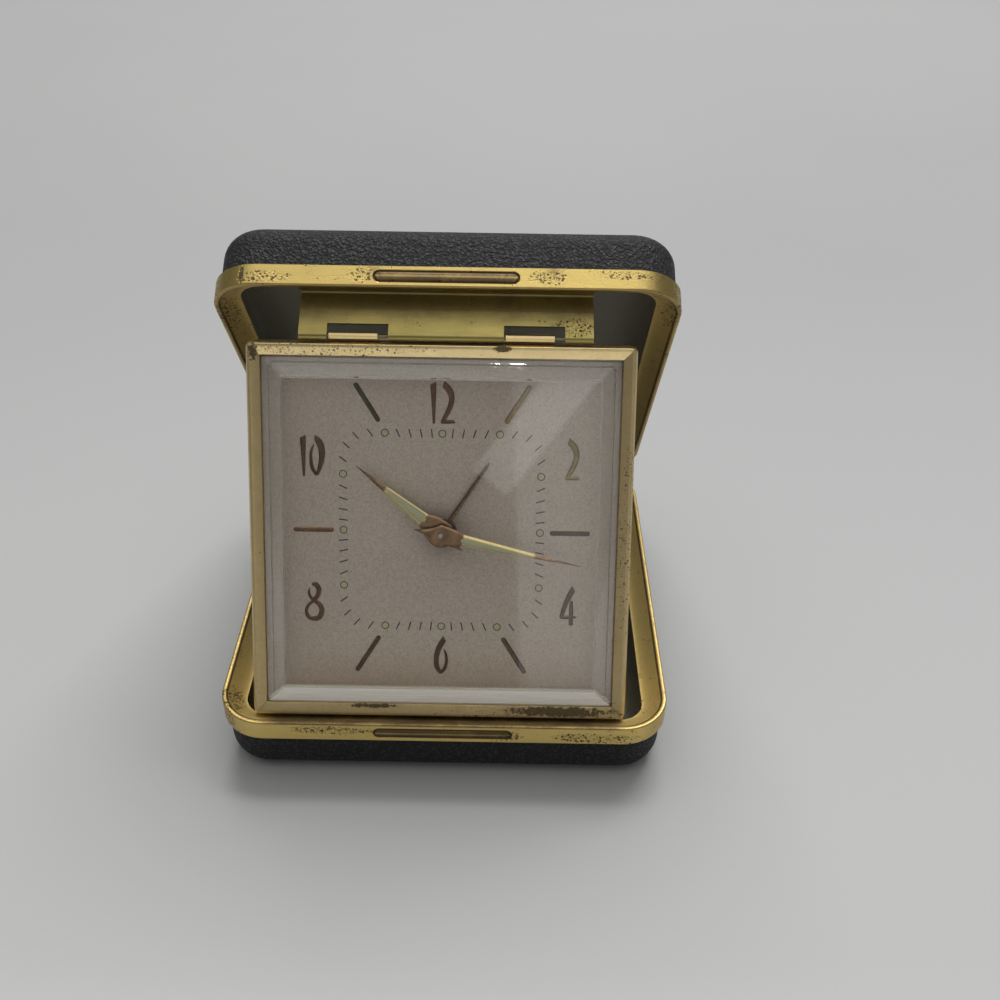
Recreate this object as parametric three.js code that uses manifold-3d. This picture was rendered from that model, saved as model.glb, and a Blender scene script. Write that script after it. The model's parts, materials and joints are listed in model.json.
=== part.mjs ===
// Folding travel alarm clock. A square clock hangs between two hinged trays and props them open.
// Millimetres, +Z up, +X to the right of someone facing the dial, who stands on the -Y side.
import * as THREE from 'three';
import { mergeVertices } from 'three/addons/utils/BufferGeometryUtils.js';
import Module from 'manifold-3d';

const wasm = await Module();
wasm.setup();

// Clearances and common counts
const fitGap = 0.3;
const pinGap = 0.12;
const cutOverrun = 1;
const weldDistance = 1e-5;
const cornerSteps = 4;
const smallCornerSteps = 2;
const hiddenSteps = 2;
const hiddenCornerSteps = 3;
const dishSteps = 3;
const curveSteps = 4;
const roundFaces = 16;
const smallFaces = 8;
const arborFaces = 8;
const pivotFaces = 6;

// The two trays of the case
const caseWidth = 90;
const caseLength = 88;
const caseDepth = 14.8;
const caseCornerRadius = 9.5;
const caseBackCornerRadius = 8;
const caseEdgeRound = 5;
const leatherThickness = 0.8;
const panThickness = 0.5;
const liningThickness = 0.6;

// The brass rim round each mouth
const rimBand = 4.4;
const rimSheet = 0.6;
const rimFlangeWidth = 4.8;
const rimDishDepth = 2.4;
const rimLipWidth = 0.9;
const rimLipDrop = 0.25;
const rimLipRound = 0.3;
const rimDishSheet = 0.5;
const dishCurvePowerShare = 1.5;
const gripLength = 27.4;
const gripHeight = 2.6;
const gripGroove = 0.45;
const gripGrooveDepth = 0.3;

// The hinge that joins the trays
const caseHingeSetback = 1.5;
const caseHingeWidth = 40;
const caseKnuckleCount = 5;
const caseKnuckleRadius = 1.2;
const casePinRadius = 0.55;
const hingeSheet = 0.5;
const caseLeafHeight = 3.9;

// The hinge that hangs the clock inside the upper tray's front edge
const clockAxisFromFront = 5.9;
const clockAxisBelowMouth = 7.3;
const clockLeafWidth = 55.4;
const clockLeafNotchWidth = 11.5;
const clockLeafNotchCentre = 16.6;
const clockLeafNotchHeight = 3;
const clockLeafFootInset = 2.1;
const clockKnuckleRadius = 0.75;
const clockPinRadius = 0.35;
const clockKnuckleWidth = 9.2;
const clockSideShift = -0.8;
const clockPlateDepth = 4.2;

// The foot of the clock on the lower rim
const footFromFront = 3.3;
const footBelowMouth = 1.35;

// The clock's body
const clockWidth = 74;
const clockHeight = 74;
const bezelCorner = 1.4;
const bezelStrip = 2.7;
const bezelSkirt = 6;
const bezelSheet = 0.7;
const bezelBevel = 0.5;
const bezelInnerDrop = 0.6;
const bezelLip = 0.8;
const crystalRise = 1.6;
const crystalBevel = 3.7;
const crystalEdgeDrop = 0.4;
const crystalUnderside = 0.6;
const crystalSeatDepth = 3;
const crystalWall = 1.4;
const canSheet = 0.6;
const canCorner = 1.6;
const backCoverSheet = 0.6;
const dialThickness = 0.5;
const dialDepth = 5.6;
const reliefHeight = 0.22;

// Depths behind the bezel's front face, front to back
const arborTip = 1.1;
const minuteHandTop = 1.6;
const hourHandTop = 2.95;
const alarmHandTop = 4.35;
const alarmWheelTop = 6.4;
const hourWheelTop = 6.95;
const minuteWheelTop = 7.5;
const frontPlateTop = 8.2;
const trainTop = 9;
const backPlateTop = 13.4;
const ratchetTop = 14.5;
const backCoverTop = 16.2;
const keyTop = 17.4;
const keyHeight = 2.1;

// Hands
const handSheet = 0.3;
const minuteHandLength = 28;
const hourHandLength = 21.1;
const alarmHandLength = 16.8;
const handTail = 5.4;
const minuteHubRadius = 2;
const hourHubRadius = 2.6;
const minuteBladeHalf = 1.1;
const hourBladeHalf = 1.4;
const handBladeStart = 4.4;
const alarmTipShare = 0.95;
const alarmBladeHalf = 0.42;
const alarmHubRadius = 3.05;
const hourShown = 10 + 17 / 60;
const alarmHourShown = 1.12;

// Pipes on the centre of the dial, inside outwards
const arborRadius = 0.5;
const cannonBore = 0.66;
const cannonRadius = 1.05;
const hourPipeBore = 1.25;
const hourPipeRadius = 1.65;
const alarmPipeBore = 1.9;
const alarmPipeRadius = 2.4;
const dialHoleRadius = 2.8;
const collarHeight = 0.6;

// Numerals, bars and their places on the dial
const numeralHeight = 8.1;
const digitGapShare = 0.08;
const strokeSteps = 4;
const strokeEndShare = 0.3;
const numeralSide = 25.4;
const numeralRise = 14.7;
const numeralTop = 25.4;
const barWidth = 0.95;
const barInner = 21.3;
const barOuter = 29.3;
const slantBarInnerSide = 12.3;
const slantBarInnerRise = 21.6;
const slantBarOuterSide = 17;
const slantBarOuterRise = 29;

// Movement plates and wheels
const plateThickness = 0.8;
const plateHalfWidth = 31.2;
const plateTopEdge = 27.5;
const plateBottomEdge = -34.2;
const plateCorner = 3;
const pillarRadius = 1.4;
const pillarSide = 28;
const pillarRise = 24;
const pillarDrop = 30;
const musicPillarSide = 30;
const musicPillarDrop = 19.5;
const pivotRadius = 0.32;
const pivotHole = 0.45;
const trainArborRadius = 0.45;
const wheelSheet = 0.4;
const barrelHeight = 2.9;
const barrelToothHeight = 0.8;
const barrelDrumInset = 1.6;
const barrelWall = 0.8;
const drumFaces = 16;
const mainspringSheet = 0.3;
const mainspringTurns = 3;

// Tooth shape in shares of the module and of the pitch
const toothRootShare = 1.15;
const toothTipShare = 0.85;
const leafFootShare = 0.3;
const mostPinionTeeth = 8;

// Tooth counts and modules of every pair of wheels that mesh
const motionModule = 0.45;
const cannonTeeth = 8;
const minuteWheelTeeth = 24;
const minutePinionTeeth = 7;
const hourWheelTeeth = 28;
const alarmWheelTeeth = 32;
const alarmPinionTeeth = 8;
const barrelTeeth = 40;
const barrelModule = 0.62;
const centrePinionTeeth = 8;
const centreTeeth = 48;
const centreModule = 0.3;
const thirdTeeth = 45;
const thirdModule = 0.28;
const fourthTeeth = 48;
const fourthModule = 0.22;
const trainPinionTeeth = 6;
const discTeeth = 20;
const governorPinionTeeth = 6;

// Directions from one axis to the next on the plates, in degrees anticlockwise from the right
const minuteWheelTurn = 180;
const alarmArborTurn = -80;
const timeBarrelTurn = 205.7;
const thirdWheelTurn = 50;
const fourthWheelTurn = 133;
const escapeWheelTurn = 160;
const leverTurn = 172;
const balanceTurn = 150;
const discTurn = -90;
const governorTurn = 0;
const musicBarrelSide = 16.5;
const musicBarrelDrop = 8.5;

// Depths of the train's wheels, and how far a pinion reaches past its wheel
const fourthWheelTop = 9.8;
const balanceTop = 9.9;
const hairspringTop = 11;
const thirdWheelTop = 11.1;
const escapeWheelTop = 12.2;
const pinionReach = 0.15;

// Escapement and balance
const escapeTeeth = 15;
const escapeRadius = 4;
const escapeRootShare = 0.74;
const escapeHookShare = 0.35;
const escapeToLever = 6.6;
const leverToBalance = 7.4;
const leverHalf = 0.5;
const palletReach = 1.8;
const palletSpread = 2.6;
const forkReach = 4.2;
const forkSpread = 0.7;
const forkProngHalf = 0.3;
const balanceRadius = 6.5;
const balanceRimWidth = 0.9;
const balanceSpokes = 3;
const hairspringRadius = 3.4;
const hairspringTurns = 3;
const hairspringSheet = 0.14;
const hairspringHeight = 0.4;

// Music work: pinned disc, comb and air brake
const discPinRadius = 0.25;
const discPinHeight = 0.5;
const discPinTracks = 3;
const discTrackPitch = 1;
const discPinsPerTrack = 3;
const discTrackTurn = 27;
const combTeeth = 9;
const combWidth = 9;
const combToothGapShare = 0.4;
const combTipShare = 0.25;
const combBase = 2.2;
const combSheet = 0.5;
const combLength = 9;
const combTip = 1.2;
const vaneReach = 2.6;
const vaneHeight = 2.2;
const vaneSheet = 0.35;

// Turning parts on the clock's back
const keyWing = 8.5;
const keyWingHeight = 3;
const keyWingThickness = 1.1;
const keyStemRadius = 1.5;
const knobRadius = 3.1;
const knobGrooves = 8;
const knobPointsPerGroove = 4;
const knobGrooveShare = 0.92;
const knobBoreShare = 0.6;
const ratchetTeeth = 12;
const ratchetRadius = 4.4;
const ratchetRootShare = 0.82;
const ratchetTipShare = 0.9;
const stopSlideSide = 6;
const stopSlideRise = 26;
const stopSlideTravel = 5;
const stopButtonLength = 4;
const stopButtonWidth = 2.4;
const stopSlotWidth = 1.2;
const regulatorSwing = 20;
const regulatorSlotSpare = 10;
const regulatorReach = 4.8;
const regulatorWidth = 1;
const screwInset = 4;
const screwHeadRadius = 1.3;
const screwHeadHeight = 0.5;

// Derived sizes
const caseHalfWidth = caseWidth / 2;
const caseHalfLength = caseLength / 2;
const trayCentre = -(caseHingeSetback + caseHalfLength);
const frontFromHinge = caseHingeSetback + caseLength;
const leatherInset = rimSheet + fitGap;
const panInset = leatherInset + leatherThickness + fitGap;
const liningInset = panInset + panThickness + fitGap;
const liningTop = rimDishDepth + rimDishSheet + fitGap;
const clockHalfWidth = clockWidth / 2;
const clockHalfHeight = clockHeight / 2;
const knuckleLift = clockKnuckleRadius + fitGap;
const canInset = bezelSheet + fitGap;
const dialInset = canInset + canSheet + fitGap;
const dialTop = dialDepth;
const frameCentreFromAxis = clockHalfHeight + knuckleLift;

// The trays, the clock and the hinge line make a triangle whose sides fix both angles
const axisReach = Math.hypot(frontFromHinge - clockAxisFromFront, clockAxisBelowMouth);
const footReach = Math.hypot(frontFromHinge - footFromFront, footBelowMouth);
const clockReach = Math.hypot(clockHeight + knuckleLift, clockKnuckleRadius);
const reachSquares = axisReach ** 2 + footReach ** 2 - clockReach ** 2;
const apexAngle = Math.acos(reachSquares / (2 * axisReach * footReach));
const footAngle = Math.atan2(footBelowMouth, frontFromHinge - footFromFront);
const axisAngle = apexAngle - footAngle;
const openAngle = axisAngle + Math.atan2(clockAxisBelowMouth, frontFromHinge - clockAxisFromFront);
const axisPlace = new THREE.Vector2(-Math.cos(axisAngle), Math.sin(axisAngle)).multiplyScalar(axisReach);
const footPlace = new THREE.Vector2(footFromFront - frontFromHinge, -footBelowMouth);
const strutAngle = Math.atan2(axisPlace.y - footPlace.y, axisPlace.x - footPlace.x);
const leanAngle = strutAngle + Math.atan2(clockKnuckleRadius, clockHeight + knuckleLift);

// Finishes read off the photograph
const finishes = {
  brass: { color: 0xb39c58, roughness: 0.34, metalness: 1 },
  copper: { color: 0x7d5a45, roughness: 0.4, metalness: 1 },
  steel: { color: 0x9a9c9f, roughness: 0.4, metalness: 1 },
  leatherette: { color: 0x1d2125, roughness: 0.72, metalness: 0 },
  lining: { color: 0x35403a, roughness: 0.9, metalness: 0 },
  dial: { color: 0x9d958c, roughness: 0.55, metalness: 0.3 },
  crystal: { color: 0xdfe4df, roughness: 0.08, metalness: 0, transparent: true, opacity: 0.35 },
  enamel: { color: 0x6f6a5a, roughness: 0.5, metalness: 0.2 }
};

// Mesh and solid helpers
function closedMesh(points, faces) {
  let volume = 0;
  for (const [a, b, c] of faces) volume += points[a].dot(points[b].clone().cross(points[c])) / 6;
  const geometry = new THREE.BufferGeometry();
  const positions = points.flatMap((point) => point.toArray());
  geometry.setAttribute('position', new THREE.Float32BufferAttribute(positions, 3));
  geometry.setIndex(faces.flatMap(([a, b, c]) => (volume < 0 ? [a, c, b] : [a, b, c])));
  return geometry;
}

function toSolid(geometry) {
  const bare = geometry.clone();
  bare.deleteAttribute('normal');
  bare.deleteAttribute('uv');
  const merged = mergeVertices(bare, weldDistance);
  return new wasm.Manifold(new wasm.Mesh({
    numProp: 3,
    vertProperties: new Float32Array(merged.attributes.position.array),
    triVerts: new Uint32Array(merged.index.array)
  }));
}

function toGeometry(solid) {
  const mesh = solid.getMesh();
  const geometry = new THREE.BufferGeometry();
  geometry.setAttribute('position', new THREE.Float32BufferAttribute(mesh.vertProperties, 3));
  geometry.setIndex(Array.from(mesh.triVerts));
  return geometry;
}

function fuse(...geometries) {
  return toGeometry(wasm.Manifold.union(geometries.map(toSolid)));
}

function cut(geometry, ...tools) {
  return toGeometry(toSolid(geometry).subtract(wasm.Manifold.union(tools.map(toSolid))));
}

// One ring of a loft: a rectangle with rounded corners, counter-clockwise from above
function roundedRing(halfX, halfY, radius, z, steps) {
  const points = [];
  const corners = [[1, 1], [-1, 1], [-1, -1], [1, -1]];
  corners.forEach(([sideX, sideY], quarter) => {
    for (let step = 0; step <= steps; step += 1) {
      const angle = (quarter + step / steps) * Math.PI / 2;
      const x = sideX * (halfX - radius) + radius * Math.cos(angle);
      const y = sideY * (halfY - radius) + radius * Math.sin(angle);
      points.push(new THREE.Vector3(x, y, z));
    }
  });
  return points;
}

// Joins rings side by side. A closed loft is a frame, and an open one has flat ends.
function loft(rings, closed) {
  const count = rings[0].length;
  const points = rings.flat();
  const faces = [];
  const joins = closed ? rings.length : rings.length - 1;
  for (let ring = 0; ring < joins; ring += 1) {
    const near = ring * count;
    const far = ((ring + 1) % rings.length) * count;
    for (let i = 0; i < count; i += 1) {
      const next = (i + 1) % count;
      faces.push([near + i, near + next, far + next], [near + i, far + next, far + i]);
    }
  }
  if (!closed) {
    const last = (rings.length - 1) * count;
    for (let i = 1; i < count - 1; i += 1) {
      faces.push([0, i + 1, i], [last, last + i, last + i + 1]);
    }
  }
  return closedMesh(points, faces);
}

// A rounded rectangle's section, given as pairs of inset from its outline and height
function roundedSection(halfX, halfY, corner, section, closed, steps = smallCornerSteps) {
  const rings = section.map(([inset, z, radius = corner - inset]) => (
    roundedRing(halfX - inset, halfY - inset, Math.max(radius, pinGap), z, steps)
  ));
  return loft(rings, closed);
}

function plateOf(shape, bottom, top) {
  const settings = { depth: top - bottom, bevelEnabled: false, curveSegments: curveSteps };
  const geometry = new THREE.ExtrudeGeometry(shape, settings);
  return geometry.translate(0, 0, bottom);
}

function polygonShape(points) {
  return new THREE.Shape(points.map(([x, y]) => new THREE.Vector2(x, y)));
}

// A round bar along the clock's depth, between two depths behind the bezel's face
function bar(radius, top, bottom, x = 0, y = 0, faces = smallFaces) {
  const geometry = new THREE.CylinderGeometry(radius, radius, bottom - top, faces);
  return geometry.rotateX(Math.PI / 2).translate(x, y, -(top + bottom) / 2);
}

function crossBar(radius, length, x, y, z, faces = arborFaces) {
  const geometry = new THREE.CylinderGeometry(radius, radius, length, faces);
  return geometry.rotateZ(Math.PI / 2).translate(x, y, z);
}

function box(left, right, front, back, bottom, top) {
  const geometry = new THREE.BoxGeometry(right - left, back - front, top - bottom);
  return geometry.translate((left + right) / 2, (front + back) / 2, (bottom + top) / 2);
}

function stadium(length, height) {
  const radius = height / 2;
  const reach = length / 2 - radius;
  const shape = new THREE.Shape();
  shape.absarc(reach, 0, radius, -Math.PI / 2, Math.PI / 2, false);
  shape.absarc(-reach, 0, radius, Math.PI / 2, Math.PI * 1.5, false);
  return shape;
}

const clockGroup = new THREE.Group();
const upperGroup = new THREE.Group();
const lowerGroup = new THREE.Group();

function add(group, name, finish, geometry) {
  geometry.computeVertexNormals();
  const mesh = new THREE.Mesh(geometry, new THREE.MeshStandardMaterial(finishes[finish]));
  mesh.name = name;
  group.add(mesh);
  return mesh;
}

// How far the rim's dished flange lies below the mouth at a distance from the outer face
function dishDepthAt(inset) {
  const start = rimLipWidth + rimLipDrop;
  const travel = Math.min(Math.max((inset - start) / (rimFlangeWidth - start), 0), 1);
  return rimLipDrop + (rimDishDepth - rimLipDrop) * (1 - (1 - travel) ** dishCurvePowerShare);
}

// One layer of a tray: its outer face at an inset from the rim, and its floor at a depth.
// The face that shows has more steps round its edge than the hidden one.
function traySkin(inset, thickness, floorDepth, innerSteps, outerSteps, planSteps) {
  const inner = inset + thickness;
  const innerRound = caseEdgeRound - thickness;
  const roundTop = floorDepth - caseEdgeRound;
  const section = [];
  for (let step = innerSteps; step >= 0; step -= 1) {
    const angle = step / innerSteps * Math.PI / 2;
    const bend = innerRound * (1 - Math.cos(angle));
    section.push([inner + bend, -roundTop - innerRound * Math.sin(angle), caseBackCornerRadius - bend]);
  }
  section.push([inner, -liningTop, caseCornerRadius - inner]);
  section.push([inset, -liningTop, caseCornerRadius - inset]);
  for (let step = 0; step <= outerSteps; step += 1) {
    const angle = step / outerSteps * Math.PI / 2;
    const bend = caseEdgeRound * (1 - Math.cos(angle));
    const level = -roundTop - caseEdgeRound * Math.sin(angle);
    section.push([inset + bend, level, caseBackCornerRadius + thickness - bend]);
  }
  const skin = roundedSection(caseHalfWidth, caseHalfLength, caseCornerRadius, section, false, planSteps);
  return skin.translate(0, trayCentre, 0);
}

function rimFrame() {
  const section = [
    [0, -rimBand],
    [0, -rimLipRound],
    [rimLipRound, 0],
    [rimLipWidth, 0]
  ];
  const dishStart = rimLipWidth + rimLipDrop;
  const dishInsets = [];
  for (let step = 0; step <= dishSteps; step += 1) {
    dishInsets.push(dishStart + (rimFlangeWidth - dishStart) * step / dishSteps);
  }
  dishInsets.forEach((inset) => section.push([inset, -dishDepthAt(inset)]));
  dishInsets.reverse().forEach((inset) => section.push([inset, -dishDepthAt(inset) - rimDishSheet]));
  section.push([rimSheet, -rimLipDrop - rimDishSheet], [rimSheet, -rimBand]);
  const frame = roundedSection(caseHalfWidth, caseHalfLength, caseCornerRadius, section, true, cornerSteps);
  frame.translate(0, trayCentre, 0);
  const outline = stadium(gripLength, gripHeight);
  const ridgeOutline = stadium(gripLength - 2 * gripGroove, gripHeight - 2 * gripGroove);
  const groove = plateOf(outline, 0, gripGrooveDepth + cutOverrun);
  const ridge = plateOf(ridgeOutline, 0, gripGrooveDepth + 2 * cutOverrun);
  const tool = cut(groove, ridge.translate(0, 0, -cutOverrun / 2));
  tool.rotateX(Math.PI / 2);
  tool.translate(0, -frontFromHinge + gripGrooveDepth, -rimBand / 2);
  return cut(frame, tool);
}

// Knuckles shared between two leaves: the lower leaf has the odd ones and the upper the even ones
function caseHingeLeaf(owner) {
  const pitch = caseHingeWidth / caseKnuckleCount;
  const back = -caseHingeSetback + fitGap;
  const half = caseHingeWidth / 2;
  const plateTop = -caseKnuckleRadius - fitGap;
  const pieces = [box(-half, half, back, back + hingeSheet, -caseLeafHeight, plateTop)];
  const bores = [crossBar(casePinRadius + pinGap, caseHingeWidth + cutOverrun, 0, 0, 0)];
  for (let knuckle = owner; knuckle < caseKnuckleCount; knuckle += 2) {
    const centre = (knuckle + 1 / 2) * pitch - half;
    const left = centre - pitch / 2 + fitGap / 2;
    const right = centre + pitch / 2 - fitGap / 2;
    pieces.push(crossBar(caseKnuckleRadius, right - left, centre, 0, 0));
    pieces.push(box(left, right, back, back + hingeSheet, -caseLeafHeight, 0));
  }
  return cut(fuse(...pieces), ...bores);
}

function addTray(group, prefix, owner) {
  const tray = new THREE.Group();
  const panFloor = caseDepth - leatherThickness - fitGap;
  const liningFloor = panFloor - panThickness - fitGap;
  const leather = traySkin(leatherInset, leatherThickness, caseDepth, hiddenSteps, curveSteps, cornerSteps);
  const pan = traySkin(panInset, panThickness, panFloor, hiddenSteps, hiddenSteps, hiddenCornerSteps);
  const lining = traySkin(liningInset, liningThickness, liningFloor, curveSteps, hiddenSteps, cornerSteps);
  add(tray, `${prefix}_leatherette`, 'leatherette', leather);
  add(tray, `${prefix}_pan`, 'steel', pan);
  add(tray, `${prefix}_lining`, 'lining', lining);
  add(tray, `${prefix}_rim`, 'brass', rimFrame());
  add(tray, `${prefix}_hinge_leaf`, 'brass', caseHingeLeaf(owner));
  group.add(tray);
  return tray;
}

addTray(lowerGroup, 'lower', 0);
add(lowerGroup, 'case_hinge_pin', 'steel', crossBar(casePinRadius, caseHingeWidth + 2 * fitGap, 0, 0, 0));

// The upper tray is the lower one turned over, then opened about the hinge line
const upperTray = addTray(upperGroup, 'upper', 1);
upperTray.rotation.y = Math.PI;
upperGroup.rotation.x = -openAngle;

// The bent leaf that carries the clock: one leg on the dished flange, one leg down to the knuckles
function clockHingeLeaf() {
  const legFront = clockAxisFromFront - clockKnuckleRadius;
  const legBack = legFront + hingeSheet;
  const outer = [];
  const inner = [];
  for (let step = 0; step <= dishSteps; step += 1) {
    const inset = clockLeafFootInset + (rimFlangeWidth - clockLeafFootInset) * step / dishSteps;
    inner.push([inset, dishDepthAt(inset) - fitGap]);
    outer.unshift([inset, dishDepthAt(inset) - fitGap - hingeSheet]);
  }
  const bendDepth = rimDishDepth - fitGap;
  const leg = [[legBack, bendDepth], [legBack, -clockAxisBelowMouth], [legFront, -clockAxisBelowMouth]];
  const section = [...inner, ...leg];
  section.push([legFront, bendDepth - hingeSheet], ...outer);
  const half = clockLeafWidth / 2;
  const sheet = plateOf(polygonShape(section), -half, half);
  // The drawn plane is (distance from the front, depth), and the sheet runs along X
  sheet.applyMatrix4(new THREE.Matrix4().makeBasis(
    new THREE.Vector3(0, 1, 0), new THREE.Vector3(0, 0, 1), new THREE.Vector3(1, 0, 0)));
  sheet.translate(0, -frontFromHinge, 0);
  const axisY = clockAxisFromFront - frontFromHinge;
  const roll = crossBar(clockKnuckleRadius, clockLeafWidth, 0, axisY, -clockAxisBelowMouth);
  const bore = crossBar(clockPinRadius + pinGap, clockLeafWidth + cutOverrun, 0, axisY, -clockAxisBelowMouth);
  const notches = [-1, 1].map((side) => {
    const centre = side * clockLeafNotchCentre;
    const top = clockLeafNotchHeight - clockAxisBelowMouth - clockKnuckleRadius;
    const reach = clockKnuckleRadius + cutOverrun;
    const left = centre - clockLeafNotchWidth / 2;
    return box(left, left + clockLeafNotchWidth, axisY - reach, axisY + reach, -clockAxisBelowMouth - reach, top);
  });
  return cut(fuse(sheet, roll), bore, ...notches);
}

add(upperGroup, 'clock_hinge_leaf', 'brass', clockHingeLeaf());

// Everything below is drawn in the clock's own frame: X right, Y up the dial, Z out of the dial,
// with the middle of the bezel's front face at the origin
clockGroup.rotation.x = leanAngle;
const clockUp = new THREE.Vector2(Math.cos(leanAngle), Math.sin(leanAngle));
const clockOut = new THREE.Vector2(-Math.sin(leanAngle), Math.cos(leanAngle));
const clockCentre = axisPlace.clone()
  .addScaledVector(clockUp, -frameCentreFromAxis)
  .addScaledVector(clockOut, clockKnuckleRadius);
clockGroup.position.set(clockSideShift, clockCentre.x, clockCentre.y);

// The clock's own leaf lies on top of its case and reaches forward to the two knuckles
function clockKnuckles() {
  const under = clockHalfHeight + fitGap;
  const over = under + hingeSheet;
  const half = clockLeafNotchCentre + clockKnuckleWidth / 2;
  const plateFront = -2 * clockKnuckleRadius - fitGap;
  const pieces = [box(-half, half, under, over, plateFront - clockPlateDepth, plateFront)];
  for (const side of [-1, 1]) {
    const centre = side * clockLeafNotchCentre;
    const left = centre - clockKnuckleWidth / 2;
    const right = left + clockKnuckleWidth;
    pieces.push(crossBar(clockKnuckleRadius, clockKnuckleWidth, centre, frameCentreFromAxis, -clockKnuckleRadius));
    pieces.push(box(left, right, under, over, plateFront - fitGap, -clockKnuckleRadius));
  }
  const boreLength = 2 * half + cutOverrun;
  const bore = crossBar(clockPinRadius + pinGap, boreLength, 0, frameCentreFromAxis, -clockKnuckleRadius);
  return cut(fuse(...pieces), bore);
}

add(clockGroup, 'clock_hinge_knuckles', 'brass', clockKnuckles());
add(clockGroup, 'clock_hinge_pin', 'steel',
  crossBar(clockPinRadius, clockLeafWidth, -clockSideShift, frameCentreFromAxis, -clockKnuckleRadius));

function bezelFrame() {
  const section = [
    [0, -bezelSkirt],
    [0, -2 * bezelBevel],
    [bezelBevel, 0],
    [2 * bezelBevel, 0],
    [bezelStrip, -bezelInnerDrop],
    [bezelStrip, -bezelInnerDrop - bezelLip],
    [canInset, -bezelInnerDrop - bezelLip],
    [bezelSheet, -bezelInnerDrop - bezelLip - fitGap],
    [bezelSheet, -bezelSkirt]
  ];
  return roundedSection(clockHalfWidth, clockHalfHeight, bezelCorner, section, true);
}

function crystalShell() {
  const edge = bezelStrip + fitGap;
  const seatTop = -bezelInnerDrop - bezelLip - fitGap;
  const section = [
    [edge + crystalBevel, crystalRise],
    [edge, -crystalEdgeDrop],
    [edge, seatTop],
    [canInset, seatTop],
    [canInset, -crystalSeatDepth],
    [edge + crystalWall, -crystalSeatDepth],
    [edge + crystalWall, -crystalEdgeDrop - crystalWall],
    [edge + crystalBevel, -crystalUnderside]
  ];
  return roundedSection(clockHalfWidth, clockHalfHeight, bezelCorner, section, false);
}

function canWall() {
  const section = [
    [canInset, -crystalSeatDepth - fitGap],
    [canInset, -backCoverTop],
    [canInset + canSheet, -backCoverTop],
    [canInset + canSheet, -crystalSeatDepth - fitGap]
  ];
  return roundedSection(clockHalfWidth, clockHalfHeight, canCorner + canInset, section, true);
}

add(clockGroup, 'bezel', 'brass', bezelFrame());
add(clockGroup, 'crystal', 'crystal', crystalShell());
add(clockGroup, 'clock_case', 'brass', canWall());

// A stroke of changing width along a curve, as a flat outline whose two ends can be cut at a slant
function stroke(stations, startSlant, endSlant) {
  const curve = new THREE.SplineCurve(stations.map(([x, y]) => new THREE.Vector2(x, y)));
  const left = [];
  const right = [];
  for (let step = 0; step <= strokeSteps; step += 1) {
    const share = step / strokeSteps;
    const point = curve.getPoint(share);
    const slot = share * (stations.length - 1);
    const lower = Math.min(Math.floor(slot), stations.length - 2);
    const half = THREE.MathUtils.lerp(stations[lower][2], stations[lower + 1][2], slot - lower) / 2;
    const startPart = Math.max(1 - share / strokeEndShare, 0);
    const endPart = Math.max(1 - (1 - share) / strokeEndShare, 0);
    const slant = THREE.MathUtils.degToRad(startSlant * startPart + endSlant * endPart);
    const across = curve.getTangent(share).rotateAround(new THREE.Vector2(), Math.PI / 2 + slant);
    left.push([point.x + across.x * half, point.y + across.y * half]);
    right.unshift([point.x - across.x * half, point.y - across.y * half]);
  }
  return polygonShape([...left, ...right]);
}

// Digits in shares of the numeral height: a width, and strokes. Each stroke is its middle line with the
// width there, then the slants of its two ends in degrees.
const digitShares = {
  0: { width: 0.37, strokes: [
    [[[0.13, 0.94, 0.13], [0.24, 0.83, 0.165], [0.3, 0.62, 0.16], [0.285, 0.35, 0.13], [0.18, 0.03, 0.07]],
      35, 0],
    [[[0.115, 0.78, 0.03], [0.05, 0.62, 0.07], [0.035, 0.43, 0.075], [0.065, 0.2, 0.085], [0.17, 0.03, 0.08]],
      0, 0]
  ] },
  1: { width: 0.16, strokes: [
    [[[0.085, 0.965, 0.155], [0.095, 0.5, 0.105], [0.1, 0, 0.052]],
      24, 0]
  ] },
  2: { width: 0.375, strokes: [
    [[[0.085, 0.95, 0.15], [0.225, 0.805, 0.16], [0.285, 0.63, 0.14], [0.258, 0.43, 0.127],
      [0.156, 0.208, 0.114], [0.05, 0.03, 0.07]],
      30, 0],
    [[[0.03, 0.045, 0.085], [0.17, 0.05, 0.095], [0.36, 0.055, 0.09]],
      0, 30]
  ] },
  4: { width: 0.41, strokes: [
    [[[0.325, 0.94, 0.15], [0.2, 0.7, 0.13], [0.105, 0.45, 0.11], [0.04, 0.2, 0.1]],
      -35, 0],
    [[[0.01, 0.205, 0.085], [0.2, 0.205, 0.09], [0.41, 0.205, 0.03]],
      0, 0],
    [[[0.277, 0.62, 0.06], [0.277, 0.45, 0.1], [0.277, 0, 0.1]],
      0, 0]
  ] },
  6: { width: 0.35, strokes: [
    [[[0.265, 0.93, 0.15], [0.135, 0.7, 0.14], [0.065, 0.45, 0.13], [0.075, 0.2, 0.12], [0.18, 0.03, 0.08]],
      -35, 0],
    [[[0.17, 0.04, 0.08], [0.275, 0.16, 0.085], [0.315, 0.36, 0.075], [0.295, 0.53, 0.06], [0.25, 0.65, 0.03]],
      0, 0]
  ] },
  8: { width: 0.5, strokes: [
    [[[0.21, 0.92, 0.08], [0.29, 0.94, 0.12], [0.37, 0.82, 0.125], [0.35, 0.67, 0.115], [0.245, 0.53, 0.1]],
      0, 0],
    [[[0.15, 0.85, 0.03], [0.125, 0.73, 0.06], [0.165, 0.61, 0.07], [0.26, 0.51, 0.08]],
      0, 0],
    [[[0.235, 0.54, 0.09], [0.39, 0.42, 0.115], [0.44, 0.26, 0.13], [0.38, 0.11, 0.13], [0.245, 0.06, 0.12]],
      0, 0],
    [[[0.25, 0.53, 0.08], [0.11, 0.4, 0.08], [0.055, 0.25, 0.08], [0.11, 0.11, 0.1], [0.25, 0.06, 0.12]],
      0, 0]
  ] }
};

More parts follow.
